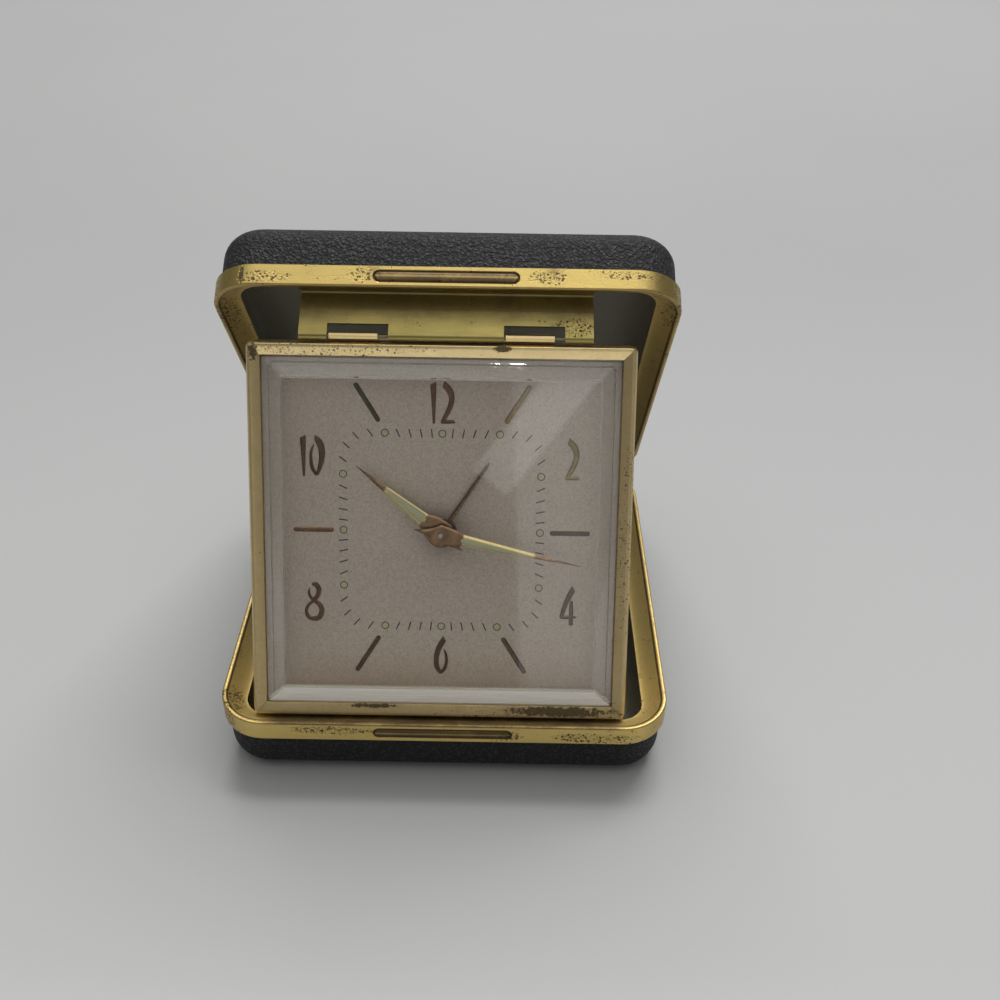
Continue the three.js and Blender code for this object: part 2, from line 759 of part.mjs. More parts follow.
function numeral(text, centreX, centreY) {
  const widths = [...text].map((digit) => digitShares[digit].width);
  const total = widths.reduce((sum, width) => sum + width, 0) + digitGapShare * (text.length - 1);
  const depth = dialThickness / 2 + reliefHeight;
  let left = -total / 2;
  const pieces = [];
  [...text].forEach((digit, index) => {
    for (const strokeShares of digitShares[digit].strokes) {
      const piece = plateOf(stroke(...strokeShares), 0, 1);
      piece.translate(left, -1 / 2, 0);
      piece.scale(numeralHeight, numeralHeight, depth);
      piece.translate(centreX, centreY, -dialTop - dialThickness / 2);
      pieces.push(piece);
    }
    left += widths[index] + digitGapShare;
  });
  return pieces;
}

function hourBar(innerX, innerY, outerX, outerY) {
  const length = Math.hypot(outerX - innerX, outerY - innerY);
  const piece = box(0, length, -barWidth / 2, barWidth / 2, -dialTop - dialThickness / 2, -dialTop + reliefHeight);
  piece.rotateZ(Math.atan2(outerY - innerY, outerX - innerX));
  return piece.translate(innerX, innerY, 0);
}

function dialPlate() {
  const half = [clockHalfWidth, clockHalfHeight];
  const section = [[dialInset, -dialTop], [dialInset, -dialTop - dialThickness]];
  const sheet = roundedSection(...half, canCorner + canInset, section, false);
  const relief = [
    ...numeral('12', 0, numeralTop),
    ...numeral('2', numeralSide, numeralRise),
    ...numeral('4', numeralSide, -numeralRise),
    ...numeral('6', 0, -numeralTop),
    ...numeral('8', -numeralSide, -numeralRise),
    ...numeral('10', -numeralSide, numeralRise),
    hourBar(barInner, 0, barOuter, 0),
    hourBar(-barInner, 0, -barOuter, 0)
  ];
  for (const sideX of [-1, 1]) {
    for (const sideY of [-1, 1]) {
      const inner = [sideX * slantBarInnerSide, sideY * slantBarInnerRise];
      const outer = [sideX * slantBarOuterSide, sideY * slantBarOuterRise];
      relief.push(hourBar(...inner, ...outer));
    }
  }
  const through = [dialTop - cutOverrun, dialTop + dialThickness + cutOverrun];
  const hole = bar(dialHoleRadius, ...through, 0, 0, roundFaces);
  return cut(fuse(sheet, ...relief), hole);
}

add(clockGroup, 'dial', 'dial', dialPlate());

// Hands point up the dial and are then turned to the time in the photograph
function leafHand(length, hubRadius, bladeHalf) {
  const shape = new THREE.Shape();
  shape.moveTo(0, -handTail);
  shape.quadraticCurveTo(bladeHalf / 2, -hubRadius, hubRadius, -bladeHalf / 2);
  shape.quadraticCurveTo(hubRadius, hubRadius, bladeHalf, handBladeStart);
  shape.lineTo(0, length);
  shape.lineTo(-bladeHalf, handBladeStart);
  shape.quadraticCurveTo(-hubRadius, hubRadius, -hubRadius, -bladeHalf / 2);
  shape.quadraticCurveTo(-bladeHalf / 2, -hubRadius, 0, -handTail);
  return shape;
}

function addHand(name, finish, shape, top, hubRadius, bore, collarDepth, angle) {
  const blade = plateOf(shape, -top - handSheet, -top);
  const collar = bar(hubRadius, top + handSheet / 2, top + handSheet + collarDepth, 0, 0, roundFaces);
  const hole = bar(bore, top - cutOverrun, top + handSheet + collarDepth + cutOverrun, 0, 0);
  const hand = cut(fuse(blade, collar), hole);
  add(clockGroup, name, finish, hand).rotation.z = -angle;
}

const minuteAngle = (hourShown % 1) * 2 * Math.PI;
const hourAngle = hourShown / 12 * 2 * Math.PI;
const alarmAngle = alarmHourShown / 12 * 2 * Math.PI;
const alarmShoulder = alarmHandLength * alarmTipShare;
const alarmBlade = polygonShape([
  [-alarmBladeHalf, 0],
  [alarmBladeHalf, 0],
  [alarmBladeHalf, alarmShoulder],
  [0, alarmHandLength],
  [-alarmBladeHalf, alarmShoulder]
]);
addHand('minute_hand', 'copper', leafHand(minuteHandLength, minuteHubRadius, minuteBladeHalf), minuteHandTop,
  cannonRadius + fitGap, arborRadius + pinGap, collarHeight, minuteAngle);
addHand('hour_hand', 'copper', leafHand(hourHandLength, hourHubRadius, hourBladeHalf), hourHandTop,
  hourPipeRadius + fitGap, cannonRadius + pinGap, collarHeight, hourAngle);
addHand('alarm_hand', 'copper', alarmBlade, alarmHandTop,
  alarmHubRadius, hourPipeRadius + pinGap, collarHeight, alarmAngle);

// A toothed wheel or a leaf pinion, with one tooth pointing at a given angle
function gearShape(teeth, module, toothAngle) {
  const pitchRadius = teeth * module / 2;
  const rootRadius = pitchRadius - toothRootShare * module;
  const tipRadius = pitchRadius + toothTipShare * module;
  const pitch = 2 * Math.PI / teeth;
  const points = [];
  const leaf = [[rootRadius, -leafFootShare], [tipRadius, 0], [rootRadius, leafFootShare]];
  const profile = teeth > mostPinionTeeth ? [[tipRadius, 0], [rootRadius, 1 / 2]] : leaf;
  for (let tooth = 0; tooth < teeth; tooth += 1) {
    for (const [radius, share] of profile) {
      const angle = toothAngle + (tooth + share) * pitch;
      points.push([radius * Math.cos(angle), radius * Math.sin(angle)]);
    }
  }
  return polygonShape(points);
}

// One toothed layer on an axis: a wheel points a tooth at the axis it meshes with, a pinion a gap
function wheelLayer(teeth, module, place, partner, top, thickness = wheelSheet) {
  const shape = gearShape(teeth, module, angleTo(place, partner));
  return plateOf(shape, -top - thickness, -top).translate(...place, 0);
}

function pinionLayer(teeth, module, place, partner, top, thickness = wheelSheet) {
  const shape = gearShape(teeth, module, angleTo(place, partner) + Math.PI / teeth);
  return plateOf(shape, -top - thickness, -top).translate(...place, 0);
}

function angleTo(from, to) {
  return Math.atan2(to[1] - from[1], to[0] - from[0]);
}

function placeFrom(origin, distance, degrees) {
  const angle = THREE.MathUtils.degToRad(degrees);
  return [origin[0] + distance * Math.cos(angle), origin[1] + distance * Math.sin(angle)];
}

// Reaches between meshing axes, and the places of the axes on the movement plates
const meshReach = (module, teeth, otherTeeth) => module * (teeth + otherTeeth) / 2;
const motionReach = meshReach(motionModule, cannonTeeth, minuteWheelTeeth);
const hourModule = 2 * motionReach / (minutePinionTeeth + hourWheelTeeth);
const alarmReach = meshReach(motionModule, alarmWheelTeeth, alarmPinionTeeth);
const barrelReach = meshReach(barrelModule, barrelTeeth, centrePinionTeeth);
const centreReach = meshReach(centreModule, centreTeeth, trainPinionTeeth);
const thirdReach = meshReach(thirdModule, thirdTeeth, trainPinionTeeth);
const fourthReach = meshReach(fourthModule, fourthTeeth, trainPinionTeeth);
const discReach = meshReach(barrelModule, barrelTeeth, discTeeth);
const governorReach = meshReach(barrelModule, discTeeth, governorPinionTeeth);
const centrePlace = [0, 0];
const minuteWheelPlace = placeFrom(centrePlace, motionReach, minuteWheelTurn);
const alarmArborPlace = placeFrom(centrePlace, alarmReach, alarmArborTurn);
const timeBarrelPlace = placeFrom(centrePlace, barrelReach, timeBarrelTurn);
const thirdPlace = placeFrom(centrePlace, centreReach, thirdWheelTurn);
const fourthPlace = placeFrom(thirdPlace, thirdReach, fourthWheelTurn);
const escapePlace = placeFrom(fourthPlace, fourthReach, escapeWheelTurn);
const leverPlace = placeFrom(escapePlace, escapeToLever, leverTurn);
const balancePlace = placeFrom(leverPlace, leverToBalance, balanceTurn);
const musicBarrelPlace = [musicBarrelSide, -musicBarrelDrop];
const discPlace = placeFrom(musicBarrelPlace, discReach, discTurn);
const governorPlace = placeFrom(discPlace, governorReach, governorTurn);

// Motion work under the dial: pipes that turn inside one another, each with its wheel
function bored(bore, top, bottom, ...solids) {
  return cut(fuse(...solids), bar(bore, top - cutOverrun, bottom + cutOverrun));
}

const pipeTop = (handTop) => handTop + handSheet + collarHeight + pinGap;
const cannonBottom = frontPlateTop - fitGap;
const hourPipeBottom = hourWheelTop + wheelSheet;
const alarmPipeBottom = alarmWheelTop + wheelSheet / 2;
const alarmWheelSheet = wheelSheet / 2 + pinGap;

add(clockGroup, 'cannon_pinion', 'brass', bored(cannonBore, arborTip, cannonBottom,
  bar(cannonRadius, pipeTop(minuteHandTop), cannonBottom),
  pinionLayer(cannonTeeth, motionModule, centrePlace, minuteWheelPlace, minuteWheelTop)));
add(clockGroup, 'hour_wheel', 'brass', bored(hourPipeBore, arborTip, hourPipeBottom,
  bar(hourPipeRadius, pipeTop(hourHandTop), hourPipeBottom),
  wheelLayer(hourWheelTeeth, hourModule, centrePlace, minuteWheelPlace, hourWheelTop)));
add(clockGroup, 'alarm_wheel', 'brass', bored(alarmPipeBore, arborTip, alarmPipeBottom,
  bar(alarmPipeRadius, pipeTop(alarmHandTop), alarmPipeBottom),
  wheelLayer(alarmWheelTeeth, motionModule, centrePlace, alarmArborPlace, alarmWheelTop, alarmWheelSheet)));
add(clockGroup, 'minute_wheel', 'brass', fuse(
  bar(trainArborRadius, hourWheelTop - pinGap, frontPlateTop - pinGap, ...minuteWheelPlace),
  wheelLayer(minuteWheelTeeth, motionModule, minuteWheelPlace, centrePlace, minuteWheelTop),
  pinionLayer(minutePinionTeeth, hourModule, minuteWheelPlace, centrePlace, hourWheelTop)));

// Movement plates, with a hole for every arbor
const backArbors = [
  [...centrePlace, arborRadius],
  [...alarmArborPlace, trainArborRadius],
  [...timeBarrelPlace, keyStemRadius],
  [...musicBarrelPlace, keyStemRadius]
];
const innerPivots = [thirdPlace, fourthPlace, escapePlace, leverPlace, balancePlace, discPlace, governorPlace];

function plateOutline() {
  const halfHeight = (plateTopEdge - plateBottomEdge) / 2;
  const section = [[0, 0], [0, -plateThickness]];
  const sheet = roundedSection(plateHalfWidth, halfHeight, plateCorner, section, false);
  return sheet.translate(0, (plateTopEdge + plateBottomEdge) / 2, 0);
}

function platePerforated(top) {
  const holes = [
    ...backArbors.map(([x, y, radius]) => [x, y, radius + fitGap, smallFaces]),
    ...innerPivots.map(([x, y]) => [x, y, pivotHole, pivotFaces])
  ];
  const through = [top - cutOverrun, top + plateThickness + cutOverrun];
  const tools = holes.map(([x, y, radius, faces]) => bar(radius, ...through, x, y, faces));
  return cut(plateOutline().translate(0, 0, -top), ...tools);
}

const pillarPlaces = [
  [-pillarSide, pillarRise],
  [pillarSide, pillarRise],
  [-pillarSide, -pillarDrop],
  [musicPillarSide, -musicPillarDrop]
];
const pillars = pillarPlaces.map(([x, y]) => (
  bar(pillarRadius, frontPlateTop + plateThickness / 2, backPlateTop - pinGap, x, y, arborFaces)
));
add(clockGroup, 'movement_front_plate', 'brass', fuse(platePerforated(frontPlateTop), ...pillars));
add(clockGroup, 'movement_back_plate', 'brass', platePerforated(backPlateTop));

// Going train: each arbor has its pivots in the two plates
function trainArbor(place) {
  const shaft = bar(trainArborRadius, trainTop + pinGap, backPlateTop - pinGap, ...place, pivotFaces);
  const depths = [trainTop - plateThickness / 2, backPlateTop + plateThickness / 2];
  return [shaft, bar(pivotRadius, ...depths, ...place, pivotFaces)];
}

function barrelPiece(place, next, bottomDepth) {
  const drumRadius = barrelTeeth * barrelModule / 2 - barrelDrumInset;
  const teethTop = trainTop + fitGap;
  const teeth = wheelLayer(barrelTeeth, barrelModule, place, next, teethTop, barrelToothHeight);
  const drum = bar(drumRadius, teethTop, bottomDepth, ...place, drumFaces);
  const hollowTop = teethTop + barrelToothHeight;
  const hollow = bar(drumRadius - barrelWall, hollowTop, bottomDepth + cutOverrun, ...place, drumFaces);
  const bore = bar(keyStemRadius + fitGap, trainTop, bottomDepth + cutOverrun, ...place);
  return cut(fuse(teeth, drum), hollow, bore);
}

// A strip wound in a flat spiral from an inner to an outer radius
function spiral(innerRadius, outerRadius, sheet, turns, facesPerTurn) {
  const steps = turns * facesPerTurn;
  const inside = [];
  const outside = [];
  for (let step = 0; step <= steps; step += 1) {
    const share = step / steps;
    const angle = share * turns * 2 * Math.PI;
    const radius = innerRadius + (outerRadius - innerRadius) * share;
    inside.push([radius * Math.cos(angle), radius * Math.sin(angle)]);
    outside.unshift([(radius + sheet) * Math.cos(angle), (radius + sheet) * Math.sin(angle)]);
  }
  return polygonShape([...inside, ...outside]);
}

// The flat spring wound inside a barrel
function mainspring(place) {
  const hollow = barrelTeeth * barrelModule / 2 - barrelDrumInset - barrelWall;
  const outer = hollow - 2 * fitGap - mainspringSheet;
  const outline = spiral(keyStemRadius + fitGap, outer, mainspringSheet, mainspringTurns, smallFaces);
  const top = trainTop + 2 * fitGap + barrelToothHeight;
  return plateOf(outline, -trainTop - barrelHeight, -top).translate(...place, 0);
}

const barrelBottom = trainTop + fitGap + barrelHeight;
add(clockGroup, 'time_barrel', 'brass', barrelPiece(timeBarrelPlace, centrePlace, barrelBottom));
add(clockGroup, 'time_mainspring', 'steel', mainspring(timeBarrelPlace));
add(clockGroup, 'music_barrel', 'brass', barrelPiece(musicBarrelPlace, discPlace, barrelBottom));
add(clockGroup, 'music_mainspring', 'steel', mainspring(musicBarrelPlace));

const centreWheelTop = barrelBottom + fitGap;
const centrePinionTop = trainTop + fitGap;
add(clockGroup, 'centre_wheel', 'brass', bored(arborRadius + pinGap, trainTop, backPlateTop,
  bar(arborRadius + 2 * fitGap, trainTop + pinGap, backPlateTop - pinGap),
  pinionLayer(centrePinionTeeth, barrelModule, centrePlace, timeBarrelPlace, centrePinionTop, barrelToothHeight),
  wheelLayer(centreTeeth, centreModule, centrePlace, thirdPlace, centreWheelTop)));

// A pinion on a train arbor, a little taller than the wheel that drives it
function trainPinion(module, place, driver, driverTop) {
  const height = wheelSheet + 2 * pinionReach;
  return pinionLayer(trainPinionTeeth, module, place, driver, driverTop - pinionReach, height);
}

add(clockGroup, 'third_wheel', 'brass', fuse(
  ...trainArbor(thirdPlace),
  trainPinion(centreModule, thirdPlace, centrePlace, centreWheelTop),
  wheelLayer(thirdTeeth, thirdModule, thirdPlace, fourthPlace, thirdWheelTop)));
add(clockGroup, 'fourth_wheel', 'brass', fuse(
  ...trainArbor(fourthPlace),
  trainPinion(thirdModule, fourthPlace, thirdPlace, thirdWheelTop),
  wheelLayer(fourthTeeth, fourthModule, fourthPlace, escapePlace, fourthWheelTop)));

// Escape wheel, with long hooked teeth
function escapeShape() {
  const points = [];
  const pitch = 2 * Math.PI / escapeTeeth;
  for (let tooth = 0; tooth < escapeTeeth; tooth += 1) {
    for (const [radius, share] of [[escapeRadius * escapeRootShare, 0], [escapeRadius, escapeHookShare]]) {
      const angle = (tooth + share) * pitch;
      points.push([radius * Math.cos(angle), radius * Math.sin(angle)]);
    }
  }
  return polygonShape(points);
}

add(clockGroup, 'escape_wheel', 'brass', fuse(
  ...trainArbor(escapePlace),
  plateOf(escapeShape(), -escapeWheelTop - wheelSheet, -escapeWheelTop).translate(...escapePlace, 0),
  trainPinion(fourthModule, escapePlace, fourthPlace, fourthWheelTop)));

// The lever reaches from the escape wheel to the balance, with a pallet either side of the wheel's rim
function palletLever() {
  const level = [-escapeWheelTop - wheelSheet, -escapeWheelTop];
  const beam = box(-palletReach, forkReach, -leverHalf, leverHalf, ...level);
  const cross = box(-palletReach, -palletReach + 2 * leverHalf, -palletSpread, palletSpread, ...level);
  const fork = [-forkSpread, forkSpread].map((y) => (
    box(forkReach - 2 * leverHalf, forkReach + leverHalf, y - forkProngHalf, y + forkProngHalf, ...level)
  ));
  const lever = fuse(beam, cross, ...fork);
  lever.rotateZ(angleTo(leverPlace, balancePlace)).translate(...leverPlace, 0);
  return fuse(lever, ...trainArbor(leverPlace));
}

add(clockGroup, 'pallet_lever', 'steel', palletLever());

// Balance wheel with its spokes, and its hairspring as one flat spiral
function balanceWheel() {
  const ringShape = new THREE.Shape();
  ringShape.absarc(0, 0, balanceRadius, 0, 2 * Math.PI, false);
  const hole = new THREE.Path();
  hole.absarc(0, 0, balanceRadius - balanceRimWidth, 0, 2 * Math.PI, true);
  ringShape.holes.push(hole);
  const rimDepth = 2 * wheelSheet;
  const settings = { depth: rimDepth, bevelEnabled: false, curveSegments: smallFaces };
  const rim = new THREE.ExtrudeGeometry(ringShape, settings);
  rim.translate(0, 0, -balanceTop - rimDepth);
  const reach = balanceRadius - balanceRimWidth / 2;
  const spokes = [];
  for (let spoke = 0; spoke < balanceSpokes; spoke += 1) {
    const arm = box(0, reach, -leverHalf, leverHalf, -balanceTop - wheelSheet, -balanceTop);
    spokes.push(arm.rotateZ(spoke * 2 * Math.PI / balanceSpokes));
  }
  const wheel = fuse(rim, ...spokes).translate(...balancePlace, 0);
  return fuse(wheel, ...trainArbor(balancePlace));
}

add(clockGroup, 'balance_wheel', 'brass', balanceWheel());

function hairspring() {
  const inner = trainArborRadius + fitGap;
  const outline = spiral(inner, hairspringRadius, hairspringSheet, hairspringTurns, arborFaces);
  return plateOf(outline, -hairspringTop - hairspringHeight, -hairspringTop).translate(...balancePlace, 0);
}

add(clockGroup, 'hairspring', 'steel', hairspring());

// The music: a pinned disc turned by its barrel, a steel comb, and an air brake that steadies it
const discTop = trainTop + fitGap;
function musicDisc() {
  const discRadius = barrelModule * (discTeeth / 2 - toothRootShare);
  const pinCount = discPinTracks * discPinsPerTrack;
  const pins = [];
  for (let pin = 0; pin < pinCount; pin += 1) {
    const track = pin % discPinTracks;
    const reach = discRadius - discPinRadius - fitGap - track * discTrackPitch;
    const place = placeFrom(discPlace, reach, pin * 360 / pinCount + track * discTrackTurn);
    const foot = discTop + barrelToothHeight;
    pins.push(bar(discPinRadius, foot - fitGap, foot + discPinHeight, ...place, pivotFaces));
  }
  const wheel = pinionLayer(discTeeth, barrelModule, discPlace, musicBarrelPlace, discTop, barrelToothHeight);
  return fuse(wheel, ...pins, ...trainArbor(discPlace));
}

add(clockGroup, 'music_disc', 'brass', musicDisc());

function musicComb() {
  const [middleX, middleY] = discPlace;
  const discRadius = barrelModule * discTeeth / 2;
  const right = middleX - discRadius * combTipShare;
  const left = middleX - discRadius - combTip - combLength;
  const top = discTop + barrelToothHeight + discPinHeight + fitGap;
  const base = [left, left + combBase, middleY - combWidth / 2, middleY + combWidth / 2];
  const pieces = [box(...base, -top - combSheet, -top), box(...base, -backPlateTop + pinGap, -top - combSheet / 2)];
  const pitch = combWidth / combTeeth;
  for (let tooth = 0; tooth < combTeeth; tooth += 1) {
    const low = middleY - combWidth / 2 + (tooth + combToothGapShare / 2) * pitch;
    const high = low + (1 - combToothGapShare) * pitch;
    const fall = Math.abs(tooth - (combTeeth - 1) / 2) * pitch / 2;
    pieces.push(box(left, right - fall, low, high, -top - combSheet, -top));
  }
  return fuse(...pieces);
}

add(clockGroup, 'music_comb', 'steel', musicComb());

function governor() {
  const top = discTop + barrelToothHeight + fitGap;
  const vane = box(-vaneReach, vaneReach, -vaneSheet / 2, vaneSheet / 2, -top - vaneHeight, -top);
  vane.translate(...governorPlace, 0);
  return fuse(vane, ...trainArbor(governorPlace),
    wheelLayer(governorPinionTeeth, barrelModule, governorPlace, discPlace, discTop, barrelToothHeight));
}

add(clockGroup, 'music_governor', 'brass', governor());

// The centre arbor carries the minute hand at the front and its setting knob at the back
add(clockGroup, 'centre_arbor', 'steel', bar(arborRadius, arborTip, keyTop + fitGap, ...centrePlace));

function knob(place, bore) {
  const shape = new THREE.Shape();
  const steps = knobGrooves * knobPointsPerGroove;
  for (let step = 0; step < steps; step += 1) {
    const angle = step / steps * 2 * Math.PI;
    const inGroove = step % knobPointsPerGroove >= knobPointsPerGroove / 2;
    const radius = knobRadius * (inGroove ? knobGrooveShare : 1);
    const method = step === 0 ? 'moveTo' : 'lineTo';
    shape[method](radius * Math.cos(angle), radius * Math.sin(angle));
  }
  const grip = plateOf(shape, -keyTop - keyHeight, -keyTop).translate(...place, 0);
  return cut(grip, bar(bore, keyTop - cutOverrun, keyTop + keyHeight * knobBoreShare, ...place));
}

add(clockGroup, 'hand_setting_knob', 'brass', knob(centrePlace, arborRadius + pinGap));
add(clockGroup, 'alarm_setting_knob', 'brass', knob(alarmArborPlace, trainArborRadius + pinGap));
add(clockGroup, 'alarm_setting_arbor', 'steel', fuse(
  bar(trainArborRadius, alarmWheelTop - pinGap, keyTop + fitGap, ...alarmArborPlace),
  pinionLayer(alarmPinionTeeth, motionModule, alarmArborPlace, centrePlace, alarmWheelTop - pinGap)));

// A winding key: two wings on a stem that runs through the back to the barrel
function windingKey(place) {
  const wings = new THREE.Shape();
  wings.absellipse(keyWing / 2, 0, keyWing / 2, keyWingHeight / 2, 0, 2 * Math.PI, false);
  const wingBottom = -keyTop - keyHeight;
  const wingPair = [0, Math.PI].map((angle) => (
    plateOf(wings, wingBottom, wingBottom + keyWingThickness).rotateZ(angle)
  ));
  const hub = bar(keyStemRadius + keyWingThickness, keyTop, keyTop + keyHeight);
  const stem = bar(keyStemRadius, ratchetTop + 2 * fitGap + wheelSheet, keyTop + keyHeight / 2);
  return fuse(...wingPair, hub, stem).translate(...place, 0);
}

function ratchet(place) {
  const points = [];
  const pitch = 2 * Math.PI / ratchetTeeth;
  for (let tooth = 0; tooth < ratchetTeeth; tooth += 1) {
    for (const [radius, share] of [[ratchetRadius * ratchetRootShare, 0], [ratchetRadius, ratchetTipShare]]) {
      const angle = (tooth + share) * pitch;
      points.push([radius * Math.cos(angle), radius * Math.sin(angle)]);
    }
  }
  const wheel = plateOf(polygonShape(points), -ratchetTop - fitGap - wheelSheet, -ratchetTop).translate(...place, 0);
  return fuse(wheel, bar(keyStemRadius, trainTop + fitGap, ratchetTop + fitGap, ...place));
}

add(clockGroup, 'time_winding_key', 'brass', windingKey(timeBarrelPlace));
add(clockGroup, 'time_ratchet_wheel', 'steel', ratchet(timeBarrelPlace));
add(clockGroup, 'music_winding_key', 'brass', windingKey(musicBarrelPlace));
add(clockGroup, 'music_ratchet_wheel', 'steel', ratchet(musicBarrelPlace));

// The alarm stop slides across a slot, and the regulator swings in another
const stopPlace = [stopSlideSide, stopSlideRise];
function stopSlide() {
  const [x, y] = stopPlace;
  const halfX = stopButtonLength / 2;
  const halfY = stopButtonWidth / 2;
  const button = box(x - halfX, x + halfX, y - halfY, y + halfY, -keyTop - keyHeight / 2, -keyTop);
  const neck = box(x - halfX / 2, x + halfX / 2, y - stopSlotWidth / 2 + pinGap, y + stopSlotWidth / 2 - pinGap,
    -keyTop - pinGap, -backCoverTop + fitGap);
  const foot = box(x - halfX, x + halfX, y - halfY, y + halfY, -backCoverTop + fitGap, -ratchetTop - fitGap);
  return fuse(button, neck, foot);
}

add(clockGroup, 'alarm_stop_slide', 'brass', stopSlide());

function regulatorLever() {
  const [x, y] = balancePlace;
  const hub = bar(regulatorWidth, backPlateTop + plateThickness + pinGap, ratchetTop + wheelSheet, x, y);
  const sides = [x - regulatorWidth / 2, x + regulatorWidth / 2];
  const end = y + regulatorReach;
  const arm = box(...sides, y, end, -ratchetTop - wheelSheet, -ratchetTop + pinGap);
  const finger = box(...sides, end - regulatorWidth, end, -keyTop - fitGap, -ratchetTop);
  return fuse(hub, arm, finger);
}

add(clockGroup, 'regulator_lever', 'steel', regulatorLever());

// Back cover with its holes, slots and four screws
function backCover() {
  const section = [[canInset, -backCoverTop - fitGap], [canInset, -backCoverTop - fitGap - backCoverSheet]];
  const sheet = roundedSection(clockHalfWidth, clockHalfHeight, canCorner + canInset, section, false);
  const through = [backCoverTop - cutOverrun, backCoverTop + fitGap + backCoverSheet + cutOverrun];
  const tools = backArbors.map(([x, y, radius]) => bar(radius + fitGap, ...through, x, y));
  const [stopX, stopY] = stopPlace;
  const neckHalf = stopButtonLength / 4;
  const slotEnd = stopX + neckHalf + stopSlideTravel + 2 * fitGap;
  tools.push(box(stopX - neckHalf - fitGap, slotEnd, stopY - stopSlotWidth / 2, stopY + stopSlotWidth / 2,
    -through[1], -through[0]));
  const swing = THREE.MathUtils.degToRad(regulatorSwing + regulatorSlotSpare);
  const slot = new THREE.Shape();
  slot.absarc(0, 0, regulatorReach + fitGap, Math.PI / 2 - swing, Math.PI / 2 + swing, false);
  slot.absarc(0, 0, regulatorReach - regulatorWidth - fitGap, Math.PI / 2 + swing, Math.PI / 2 - swing, true);
  tools.push(plateOf(slot, -through[1], -through[0]).translate(...balancePlace, 0));
  return cut(sheet, ...tools);
}

add(clockGroup, 'back_cover', 'enamel', backCover());

const screwPlaces = [[-1, -1], [1, -1], [1, 1], [-1, 1]].map(([sideX, sideY]) => [
  sideX * (clockHalfWidth - canInset - screwInset), sideY * (clockHalfHeight - canInset - screwInset)
]);
screwPlaces.forEach(([x, y], index) => {
  const top = backCoverTop + fitGap + backCoverSheet;
  const head = bar(screwHeadRadius, top, top + screwHeadHeight, x, y);
  const driverSlot = box(x - screwHeadRadius, x + screwHeadRadius, y - pinGap, y + pinGap,
    -top - screwHeadHeight - cutOverrun, -top - screwHeadHeight / 2);
  add(clockGroup, `back_screw_${index + 1}`, 'steel', cut(head, driverSlot));
});

// Stand the clock on the ground with its middle over the origin
const travelClock = new THREE.Group();
travelClock.add(lowerGroup, upperGroup, clockGroup);
travelClock.updateMatrixWorld(true);
const bounds = new THREE.Box3().setFromObject(travelClock, true);
travelClock.position.set(0, -(bounds.min.y + bounds.max.y) / 2, -bounds.min.z);
travelClock.updateMatrixWorld(true);

export default travelClock;
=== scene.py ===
import json
import math

import bmesh
import bpy
from mathutils import Matrix, Vector


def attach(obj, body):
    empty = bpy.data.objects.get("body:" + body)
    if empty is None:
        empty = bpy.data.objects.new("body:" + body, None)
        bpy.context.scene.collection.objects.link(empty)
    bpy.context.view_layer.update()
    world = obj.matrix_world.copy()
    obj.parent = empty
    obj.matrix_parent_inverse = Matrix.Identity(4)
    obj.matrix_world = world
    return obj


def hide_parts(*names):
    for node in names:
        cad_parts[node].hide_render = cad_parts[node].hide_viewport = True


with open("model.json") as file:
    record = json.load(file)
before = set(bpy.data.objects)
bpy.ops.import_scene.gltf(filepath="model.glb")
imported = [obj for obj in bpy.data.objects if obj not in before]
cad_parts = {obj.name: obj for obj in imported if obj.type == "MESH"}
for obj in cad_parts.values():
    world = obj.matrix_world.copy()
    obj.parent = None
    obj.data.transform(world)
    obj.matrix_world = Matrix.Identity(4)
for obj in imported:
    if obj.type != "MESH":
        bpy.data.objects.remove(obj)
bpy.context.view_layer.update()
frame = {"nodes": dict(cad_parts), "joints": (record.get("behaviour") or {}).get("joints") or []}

# Everything is drawn in millimetres in the frame of a tray or of the clock, then placed in metres.
MILLIMETRE = 0.001

# The two trays
CASE_HALF_WIDTH = 45
CASE_HALF_LENGTH = 44
CASE_DEPTH = 14.8
CASE_SETBACK = 1.5
CASE_CORNER = 9.5
CASE_BACK_CORNER = 8
CASE_EDGE_ROUND = 5
LEATHER_INSET = 0.9
LEATHER_THICKNESS = 0.8
LINING_INSET = 2.8
LINING_THICKNESS = 0.6
LINING_FLOOR = 12.9
SKIN_TOP = 3.2
RIM_BAND = 4.4
RIM_SHEET = 0.6
RIM_FLANGE = 4.8
RIM_DISH_DEPTH = 2.4
RIM_DISH_SHEET = 0.5
RIM_LIP_WIDTH = 0.9
RIM_LIP_DROP = 0.25
RIM_LIP_ROUND = 0.3
RIM_LIP_EASE = (0.1, 0.06)
RIM_FOOT_BEVEL = (0.12, 0.15)
RIM_FOOT_PLAIN = 0.3
DISH_POWER = 1.5
GRIP_HALF_LENGTH = 13.7
GRIP_HALF_HEIGHT = 1.3
GRIP_GROOVE = 0.45
GRIP_GROOVE_DEPTH = 0.3
GRIP_SWELL = 0.12

# The leaf that carries the clock, and the clock's hinge line
CLOCK_AXIS_FROM_FRONT = 5.9
CLOCK_AXIS_BELOW_MOUTH = 7.3
LEAF_WIDTH = 55.4
LEAF_FOOT_INSET = 2.1
LEAF_SHEET = 0.5
LEAF_GAP = 0.3
LEAF_BEND = 0.5
NOTCH_WIDTH = 11.5
NOTCH_CENTRE = 16.6
NOTCH_HEIGHT = 3
KNUCKLE_RADIUS = 0.75
PIN_BORE = 0.47

